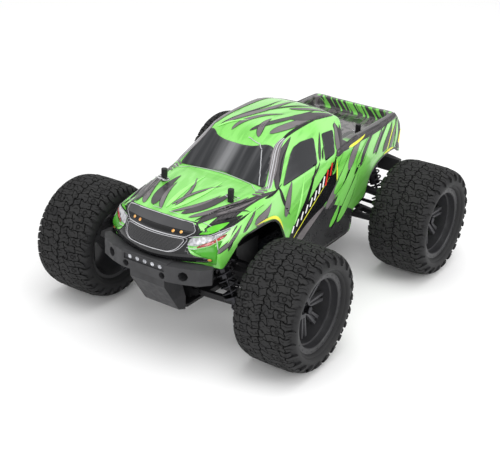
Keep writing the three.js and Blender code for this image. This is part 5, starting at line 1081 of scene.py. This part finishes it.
def make_livery():
    """Long pointed blades over the green, the dark ones edged in black."""
    finishes = {
        "black": black_line, "grey": grey_paint, "dark": dark_paint, "yellow": yellow_line, "pale": pale_paint,
        "green": green_paint,
    }
    rows = {kind: [] for kind in finishes}
    for side in FLANKS:
        panel("rear_pillar_field", soft_corners(REAR_PILLAR_FIELD, 2), side, dark_paint)
        panel("diagonal_field", soft_corners(DIAGONAL_FIELD, 2), side, black_line)
        panel("tail_field", soft_corners(TAIL_FIELD, 2), side, dark_paint)
    placed = [(blade, side) for blade in side_blades for side in FLANKS]
    for start, end, bend, width, kind in hood_blades:
        placed.append((((-start[0], start[1]), (-end[0], end[1]), -bend, width, kind), "top"))
    placed += [(blade, "top") for blade in hood_blades + roof_blades]
    for number, ((start, end, bend, width, kind), side) in enumerate(placed):
        path = bow(start, end, bend)
        lift = FILM_LIFT + FILM_STEP * number / 2
        if kind in ("grey", "dark", "green"):
            rows["black"].append((path, blade_widths(path, width + EDGE_EXTRA), side, lift))
        rows[kind].append((path, blade_widths(path, width), side, lift + FILM_STEP))
    for kind, finish in finishes.items():
        strips(f"blades_{kind}", rows[kind], finish)


# Accents

LOWER_SIDE = [(-52, 84), (-31, 41), (80, 41), (87, 46), (87, 70), (58, 84), (30, 96), (4, 92)]
SLASH_ROW = ((-44, 89), (14, 121))
SLASH_COUNT = 8
SLASH_WIDTH = 2.7
SLASH_HEIGHT = 11
RED_SLASHES = [((20, 121), (26, 137)), ((30, 129), (35, 142))]
RED_WIDTH = 2.8


def make_slashes():
    """A climbing hatch of pale bars that grow rearwards, with two red ones after it."""
    start, end = (np.array(p, float) for p in SLASH_ROW)
    pale, red = [], []
    for side in FLANKS:
        for number in range(SLASH_COUNT):
            share = number / (SLASH_COUNT - 1)
            foot = start * (1 - share) + end * share
            height = SLASH_HEIGHT * (0.65 + 0.35 * share)
            path = bow(foot, foot + (height * 0.4, height), 0)
            pale.append((path, even_widths(path, SLASH_WIDTH), side, WINDOW_LIFT))
        for foot, top in RED_SLASHES:
            path = bow(foot, top, 0)
            red.append((path, even_widths(path, RED_WIDTH), side, WINDOW_LIFT))
    strips("door_slashes", pale, white_line)
    strips("red_slashes", red, red_line)


PILLAR_LINES = ((-2.2, 0.5), (-0.7, 0.9), (1.4, 0.5))


def pillar_line(turn):
    """The edge between windscreen and side, up to the roof."""
    rows = smooth_table(cab_shares, np.linspace(cab_shares[1][0], cab_shares[4][0], 24))
    return np.column_stack([rows[:, 3] * BODY_HALF_WIDTH * turn, (rows[:, 0] - 0.5) * BODY_LENGTH, rows[:, 2] * ROOF_Z])


def make_accents():
    """Yellow lines round the arches, pale lines on the pillars, painted highlights along creases of the windscreen,
    fender and hood, the dark lower sides.
    """
    yellow, silver_lines_and_highlights, black, grey, vents = [], [], [], [], []
    sill = sill_line()
    front_arch = sill[(sill[:, 0] > -150) & (sill[:, 0] < -52)]
    rear_arch = sill[(sill[:, 0] > 98) & (sill[:, 0] < 200)]
    for side in FLANKS:
        for arch, first, last, rise in ((front_arch, -116, -60, 4.5), (rear_arch, 150, 180, 3.0)):
            path = arch[(arch[:, 0] > first) & (arch[:, 0] < last)] + (0, rise)
            yellow.append((path, blade_widths(path, 3.2, 0.5), side, WINDOW_LIFT))
            path = arch + (0, 1.2)
            black.append((path, even_widths(path, 2.0), side, WINDOW_LIFT))
        panel("lower_side", soft_corners(LOWER_SIDE, 4), side, lower_black, FILM_LIFT)
        for start, end in (((-30, 43.2), (80, 43.2)), ((86.2, 48), (86.2, 69))):
            path = bow(start, end, 0)
            black.append((path, even_widths(path, 2.2), side, FILM_LIFT))
        # Painted highlight along the crease at the fender's front edge.
        path = bow((-172, 142), (-160, 128), 1)
        silver_lines_and_highlights.append((path, even_widths(path, 0.8), side, WINDOW_LIFT))
    for turn in (-1, 1):
        pillar = pillar_line(turn)
        grey.append((pillar, blade_widths(pillar, 9, 0.5), None, WINDOW_LIFT + 0.02))
        for shift, width in PILLAR_LINES:
            path = pillar + (shift * turn, shift, 0)
            silver_lines_and_highlights.append((path, even_widths(path, width), None, WINDOW_LIFT + 0.08))
        for number in range(4):
            foot = (50 * turn, -98 + 5 * number)
            path = bow(foot, (foot[0] + 7 * turn, foot[1] + 6), 0)
            vents.append((path, even_widths(path, 2.2), "top", WINDOW_LIFT))
        # Painted highlight along the crease at the front of the hood.
        path = bow((57 * turn, -170), (66 * turn, -176), 1)
        silver_lines_and_highlights.append((path, even_widths(path, 0.8), "top", WINDOW_LIFT))
    base = smooth_curve([(-55, 147.2), (0, 150.4), (55, 147.2)], 10)
    silver_lines_and_highlights.append((base, even_widths(base, 0.8), "front", WINDOW_LIFT))
    # Painted highlights: broken pale lines along the windscreen's creases.
    rng = np.random.default_rng(4)
    for crease in (((8, 181), (24, 178)), ((24, 178), (29, 175)), ((29, 175), (46, 149))):
        path = bow(*crease, 0)
        path = path + rng.normal(0, 0.25, path.shape)
        silver_lines_and_highlights.append((path, even_widths(path, 0.9), "front", WINDOW_LIFT + 0.1))
    strips("yellow_accents", yellow, yellow_line)
    strips("black_accents", black, black_line)
    strips("pillar_bands", grey, grey_paint)
    strips("fender_vents", vents, grey_paint)
    strips("silver_lines_and_painted_highlights", silver_lines_and_highlights, silver_line)


make_windows()
make_face()
make_tail()
make_livery()
make_slashes()
make_accents()


# Tyres

# Half of the carcass: place across, radius
carcass_half = [
    (0, 59.9), (10, 59.8), (20, 59.2), (27, 57.8), (30.9, 55.4), (33.0, 52.2), (33.9, 48.8), (33.2, 45.4),
    (30.5, 43.2), (26.5, 42.2),
]
LUG_GAP = 0.9
LUG_WANDER = 0.9
TYRE_HALF_WIDTH = 35.1
LUG_REACH = 38
SHOULDER_START = 27
LUG_WAVE = 0.8
LUG_WAVE_LENGTH = 10
LUG_WANDER_LENGTH = 17
FIRST_ROW_SHARE = 0.55
RING_RADIUS = 2.3
RING_WIRE = 0.5


def carcass_curve():
    """Fine points of the carcass's half profile with the distance run along it."""
    fine = smooth_curve(carcass_half, 8)
    steps = np.linalg.norm(np.diff(fine, axis=0), axis=1)
    return fine, np.concatenate([[0], np.cumsum(steps)])


CARCASS, CARCASS_RUN = carcass_curve()
CARCASS_SLOPE = np.gradient(CARCASS, CARCASS_RUN, axis=0)
PITCH = FULL_TURN * CARCASS[0, 1] / LUG_PITCHES


def tread_point(s, t, height):
    """Maps a distance across, a distance round and a height to a point of the tyre, with wavy rows."""
    hold = min(1, max(0, (LUG_REACH - abs(s)) / 12))
    s += LUG_WANDER * hold * math.sin(2 * t * FULL_TURN / PITCH)
    t += LUG_WANDER * hold * math.sin(s * FULL_TURN / LUG_WANDER_LENGTH + 1)
    run = abs(s)
    x, radius = (np.interp(run, CARCASS_RUN, CARCASS[:, k]) for k in (0, 1))
    slope_x, slope_r = (np.interp(run, CARCASS_RUN, CARCASS_SLOPE[:, k]) for k in (0, 1))
    size = math.hypot(slope_x, slope_r)
    x = min(x - slope_r / size * height, TYRE_HALF_WIDTH)
    radius += slope_x / size * height
    angle = t / CARCASS[0, 1]
    return (math.copysign(x, s), radius * math.sin(angle), radius * math.cos(angle))


def groove(s, t):
    """The wavy edge between two rows of lugs."""
    return t + LUG_WAVE * math.sin(s * FULL_TURN / LUG_WAVE_LENGTH)


def lug_outline(start, end, low, high):
    """A lug between two wavy grooves, drawn in on the shoulder."""
    places = np.linspace(start, end, max(3, int((end - start) / 1.6)))
    drawn = np.clip((places - SHOULDER_START) / (LUG_REACH - SHOULDER_START), 0, 1) * 2.2
    lower = [(s, groove(s, low) + LUG_GAP / 2 + d) for s, d in zip(places, drawn)]
    upper = [(s, groove(s, high) - LUG_GAP / 2 - d) for s, d in zip(places, drawn)]
    return lower + upper[::-1]


def lug_solid(outline, side, offset):
    """A closed block standing on the carcass."""
    flat, faces = flat_grid(rounded_loop(outline, 1), 3.0)
    top = [tread_point(s * side, t + offset, LUG_HEIGHT) for s, t in flat]
    foot = [tread_point(s * side, t + offset, -0.3) for s, t in flat]
    count = len(flat)
    edges = {}
    for face in faces:
        for a, b in zip(face, face[1:] + face[:1]):
            edges[(a, b)] = edges.get((a, b), 0) + 1
    rim = [(a, b) for a, b in edges if (b, a) not in edges]
    walls = [(a, b, b + count, a + count) for a, b in rim]
    solid = list(faces) + [tuple(i + count for i in face[::-1]) for face in faces]
    solid += [(a + count, b + count, b, a) for a, b, _, _ in walls]
    return top + foot, solid


def ring_solid(side, offset):
    """A small raised ring on a lug."""
    points = []
    for a in np.linspace(0, FULL_TURN, 14, endpoint=False):
        for b in np.linspace(0, FULL_TURN, 6, endpoint=False):
            reach = RING_RADIUS + RING_WIRE * math.cos(b)
            s = RING_PLACE + reach * math.cos(a)
            t = PITCH * FIRST_ROW_SHARE / 2 + reach * math.sin(a)
            points.append(tread_point(s * side, t + offset, LUG_HEIGHT + RING_WIRE * 0.7 * math.sin(b)))
    faces = []
    for i in range(14):
        for j in range(6):
            k, l = (i + 1) % 14, (j + 1) % 6
            faces.append((i * 6 + j, k * 6 + j, k * 6 + l, i * 6 + l))
    return points, faces


def pitch_parts():
    """The lugs of one pitch on both halves of the tread."""
    middle = PITCH * FIRST_ROW_SHARE
    rows = [
        (0, middle, [(0.8, 12.6), (13.6, 26.0), (27.0, LUG_REACH)]),
        (middle, PITCH, [(0.8, 7.4), (8.4, 21.4), (22.4, 31.5)]),
    ]
    parts = []
    for side, offset in ((1, 0), (-1, PITCH / 2)):
        for low, high, spans in rows:
            parts += [lug_solid(lug_outline(start, end, low, high), side, offset) for start, end in spans]
        parts.append(ring_solid(side, offset))
    return parts


def joined(parts):
    vertices, faces = [], []
    for points, cells in parts:
        faces += [tuple(i + len(vertices) for i in cell) for cell in cells]
        vertices += list(points)
    return np.array(vertices, float), faces


def tyre_mesh():
    """A carcass with its lugs, centred on its own axle."""
    lugs, cells = joined(pitch_parts())
    turns = []
    for number in range(LUG_PITCHES):
        a = FULL_TURN * number / LUG_PITCHES
        y = lugs[:, 1] * math.cos(a) + lugs[:, 2] * math.sin(a)
        z = lugs[:, 2] * math.cos(a) - lugs[:, 1] * math.sin(a)
        turns.append((np.column_stack([lugs[:, 0], y, z]), cells))
    blocks = link_mesh("tyre_lugs", *joined(turns), [rubber], None)
    face_outwards(blocks.data)
    add_modifier(blocks, "BEVEL", width=0.35 * MM, segments=1, limit_method="ANGLE", angle_limit=math.radians(50))
    apply_modifiers(blocks)
    outer = np.vstack([CARCASS[::-1], CARCASS[1:] * (-1, 1)])
    inner = outer[::-1] * (0.94, 1) - (0, 2.4)
    profile = np.vstack([outer, inner])
    rings = turned_points(np.vstack([profile, profile[:1]]), 96)
    carcass = link_mesh("tyre_carcass", rings.reshape(-1, 3), grid_faces(len(rings), 96, True), [rubber], None)
    work = bmesh.new()
    work.from_mesh(carcass.data)
    work.from_mesh(blocks.data)
    bmesh.ops.remove_doubles(work, verts=work.verts, dist=1e-7)
    bmesh.ops.recalc_face_normals(work, faces=work.faces)
    mesh = bpy.data.meshes.new("tyre")
    work.to_mesh(mesh)
    work.free()
    mesh.materials.append(rubber)
    shade_mesh(mesh, 35)
    for made in (blocks, carcass):
        bpy.data.objects.remove(made)
    return mesh


# Rims

RIM_RADIUS = 41.8
SPOKE_COUNT = 8
SPOKE_FACE = 11.5
SPOKE_BACK = 6.5
HOLE_COUNT = 24
HOLE_PLACE = 38.6
HOLE_RADIUS = 0.85
RING_FACE = 28.4
# Place across, radius, round the wheel's hollow section
rim_profile = [
    (25.0, 42.0), (27.8, 41.9), (28.4, 41.3), (28.4, 36.0), (27.6, 35.1), (21.4, 34.6), (20.7, 34.3), (20.5, 33.4),
    (20.1, 32.6), (9.0, 31.4), (5.0, 31.6), (-20, 34.0), (-27, 37.0), (-27.6, 41.0), (-26.0, 41.8), (-24.5, 39.6),
    (-18, 36.6), (16, 36.6), (22.5, 38.6),
]


def spoke_outline(turn):
    """One bar of a twin spoke, seen along the axle."""
    inner, outer = 9.5, 32.6
    near, far = 1.15, 1.5
    return [
        (near * turn, inner), (far * turn, outer), ((far + 3.6) * turn, outer), ((near + 1.9) * turn, inner),
    ]


def spoke_parts():
    """Twin bars round the hub, with a web between them set back."""
    parts = []
    for number in range(SPOKE_COUNT):
        angle = FULL_TURN * number / SPOKE_COUNT
        shapes = [(spoke_outline(1), SPOKE_FACE), (spoke_outline(-1), SPOKE_FACE)]
        shapes.append(([(-1.3, 9), (-1.7, 32.4), (1.7, 32.4), (1.3, 9)], SPOKE_FACE - 2.4))
        for outline, face in shapes:
            points = []
            for x in (SPOKE_BACK, face):
                for across, radius in outline:
                    dish = 1.6 * (radius / 32.6) ** 2
                    y = across * math.cos(angle) + radius * math.sin(angle)
                    z = radius * math.cos(angle) - across * math.sin(angle)
                    points.append((x + dish, y, z))
            faces = [(0, 1, 2, 3), (7, 6, 5, 4)] + [(i, i + 4, (i + 1) % 4 + 4, (i + 1) % 4) for i in range(4)]
            parts.append((points, faces))
    return parts


def turned_part(profile, sides):
    rings = turned_points(profile, sides)
    return rings.reshape(-1, 3), grid_faces(len(rings), sides, True)


def hole_parts():
    """Small dark discs round the outer ring for its screw holes: painted shade in place of the holes' depth."""
    parts = []
    for number in range(HOLE_COUNT):
        angle = FULL_TURN * number / HOLE_COUNT
        centre = np.array([0, HOLE_PLACE * math.sin(angle), HOLE_PLACE * math.cos(angle)])
        profile = [(RING_FACE - 1, HOLE_RADIUS), (RING_FACE + 0.12, HOLE_RADIUS), (RING_FACE + 0.12, 0.01)]
        points, faces = turned_part(profile, 10)
        parts.append((points + centre, faces))
    return parts


def rim_mesh():
    """The wheel in one mesh with finishes for its body, spokes, holes and nut."""
    hub = [(4, 6), (4, 11.5), (SPOKE_FACE - 0.6, 11.5), (SPOKE_FACE, 10.8), (SPOKE_FACE + 0.4, 6.5), (SPOKE_FACE - 2, 6)]
    nut = [(SPOKE_FACE - 2, 5.4), (SPOKE_FACE + 0.8, 5.4), (SPOKE_FACE + 1.2, 4.4), (18, 4.2), (18.6, 3.6), (18.6, 0.01)]
    closed = rim_profile + rim_profile[:1]
    groups = [
        ([turned_part(closed, 96)], 0), (spoke_parts() + [turned_part(hub + hub[:1], 40)], 1),
        # The hole discs take the dark inside finish as painted shade.
        (hole_parts(), 2), ([turned_part(nut, 6)], 3),
    ]
    work = bmesh.new()
    for parts, finish in groups:
        made = link_mesh("rim_part", *joined(parts), [wheel_plastic], None)
        face_outwards(made.data)
        if finish in (1, 3):
            add_modifier(made, "BEVEL", width=0.4 * MM, segments=2, limit_method="ANGLE", angle_limit=math.radians(40))
            apply_modifiers(made)
        for face in made.data.polygons:
            face.material_index = finish
        work.from_mesh(made.data)
        bpy.data.objects.remove(made)
    mesh = bpy.data.meshes.new("rim")
    work.to_mesh(mesh)
    work.free()
    for finish in (wheel_plastic, spoke_plastic, shell_inside, black_steel):
        mesh.materials.append(finish)
    shade_mesh(mesh, 32)
    return mesh


def make_wheels():
    tyre, rim = tyre_mesh(), rim_mesh()
    for corner, (side, end) in CORNERS.items():
        for kind, mesh, slot in (("tyre", tyre, "tyre_rubber"), ("rim", rim, "wheel_plastic")):
            made = bpy.data.objects.new(f"{corner}_{kind}_detail", mesh)
            bpy.context.scene.collection.objects.link(made)
            made.location = Vector((side * TRACK_X, end * BASE_Y, AXLE_Z)) * MM
            made.rotation_euler = (0, 0, 0 if side > 0 else math.pi)
            bpy.context.view_layer.update()
            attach(made, f"{corner}_wheel")
            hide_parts(f"{corner}_{kind}")


make_wheels()


# Springs


def spring_points(side, end):
    """A smooth coil of even pitch round a shock."""
    top = np.array([side * SHOCK_TOP[0], end * SHOCK_Y, SHOCK_TOP[1]])
    foot = np.array([side * SHOCK_FOOT[0], end * SHOCK_Y, SHOCK_FOOT[1]])
    along = (foot - top) / np.linalg.norm(foot - top)
    first = np.array([0, 1, 0])
    second = np.cross(along, first)
    turns = np.linspace(0, 1, SPRING_CURLS * 24 + 1)
    path = []
    for t in turns:
        angle = t * SPRING_CURLS * FULL_TURN
        place = SPRING_START + (SPRING_END - SPRING_START) * t
        path.append(top + along * place + SPRING_RADIUS * (first * math.cos(angle) + second * math.sin(angle)))
    return path, top + along * SPRING_START, top + along * SPRING_END


def tube_part(path, radius, sides):
    """A round wire along a path."""
    path = np.asarray(path, float)
    ahead = np.gradient(path, axis=0)
    ahead /= np.linalg.norm(ahead, axis=1)[:, None]
    guide = np.cross(ahead, np.roll(ahead, 1, 0) + (0.01, 0.02, 0.03))
    guide /= np.linalg.norm(guide, axis=1)[:, None]
    points = []
    last = guide[0]
    for place, step in zip(path, ahead):
        last = last - step * np.dot(last, step)
        last /= np.linalg.norm(last)
        other = np.cross(step, last)
        for a in np.linspace(0, FULL_TURN, sides, endpoint=False):
            points.append(place + radius * (last * math.cos(a) + other * math.sin(a)))
    faces = grid_faces(len(path), sides, True)
    faces += [tuple(range(sides))[::-1], tuple(range((len(path) - 1) * sides, len(path) * sides))]
    return points, faces


def make_springs():
    for corner, (side, end) in CORNERS.items():
        path, start, stop = spring_points(side, end)
        made = link_mesh(f"{corner}_spring_coil", *tube_part(path, SPRING_WIRE, 8), [black_steel], None)
        face_outwards(made.data)
        shade_mesh(made.data, 60)
        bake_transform(made)
        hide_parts(f"{corner}_shock_spring")


make_springs()


# Bumper lamps

LED_COUNT = 5
LED_SPAN = 18.2
LED_Z = 99.5
LED_FACE_Y = -203.9


def make_leds():
    """Round lenses in the light bar's pocket."""
    for number in range(LED_COUNT):
        x = -LED_SPAN + 2 * LED_SPAN * number / (LED_COUNT - 1)
        profile = [(0, 2.2), (0.5, 2.2), (0.8, 1.8), (0.9, 1.5), (1.4, 1.1), (1.7, 0.5), (1.75, 0.01)]
        points, faces = turned_part(profile, 20)
        placed = np.column_stack([points[:, 1] + x, LED_FACE_Y - points[:, 0], points[:, 2] + LED_Z])
        made = link_mesh(f"led_{number}", placed, faces, [led_lens], "chassis")
        face_outwards(made.data)


make_leds()


# Solids that keep their shape

NODE_FINISHES = [
    ("bumper", grey_plastic), ("motor_pinion", steel), ("motor", shock_metal), ("battery", battery_wrap),
    ("electronics", dark_plastic), ("servo_horn", dark_plastic), ("servo", dark_plastic), ("driveshaft", black_steel),
    ("shock_shaft", black_steel), ("shock_body", black_steel), ("clip", steel), ("spur_gear", dark_plastic),
    ("tie_rod", black_steel),
]


def finish_of(node):
    for key, finish in NODE_FINISHES:
        if key in node:
            return finish
    return dark_plastic


def dress_solids():
    for name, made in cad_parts.items():
        made.data.materials.clear()
        made.data.materials.append(finish_of(name))
        shade_mesh(made.data, 35)
        if "clip" not in name:
            add_modifier(made, "BEVEL", width=0.35 * MM, segments=2, limit_method="ANGLE", angle_limit=math.radians(35))


dress_solids()


# Floor and light

FLOOR_SIZE = 9000


def make_stage():
    floor = Graph("floor_white", (0.96, 0.96, 0.96), 0.7)
    tone = floor.noise(floor.places(), 900, 2.0)
    floor.put(floor.shader.inputs["Base Color"], floor.blend(tone, (0.95, 0.95, 0.95), (0.97, 0.97, 0.97)))
    edge = FLOOR_SIZE
    corners = [(-edge, -edge, -0.1), (edge, -edge, -0.1), (edge, edge, -0.1), (-edge, edge, -0.1)]
    made = link_mesh("floor", corners, [(0, 1, 2, 3)], [floor.material], None)
    world = bpy.context.scene.world or bpy.data.worlds.new("world")
    bpy.context.scene.world = world
    world.use_nodes = True
    world.node_tree.nodes["Background"].inputs["Color"].default_value = (1, 1, 1, 1)
    world.node_tree.nodes["Background"].inputs["Strength"].default_value = 0.84


def area_light(name, place, target, size, power):
    data = bpy.data.lights.new(name, "AREA")
    data.shape = "RECTANGLE"
    data.size, data.size_y = size[0] * MM, size[1] * MM
    data.energy = power
    made = bpy.data.objects.new(name, data)
    bpy.context.scene.collection.objects.link(made)
    made.location = Vector(place) * MM
    made.rotation_euler = (Vector(target) - Vector(place)).to_track_quat("-Z", "Y").to_euler()


make_stage()
bpy.context.scene.view_settings.view_transform = "Standard"
area_light("top_light", (200, -300, 1900), (0, 0, 60), (1500, 1500), 14)
area_light("front_light", (900, -1500, 900), (0, 0, 90), (900, 700), 8)
area_light("side_light", (1600, 500, 800), (0, 0, 90), (900, 700), 8)
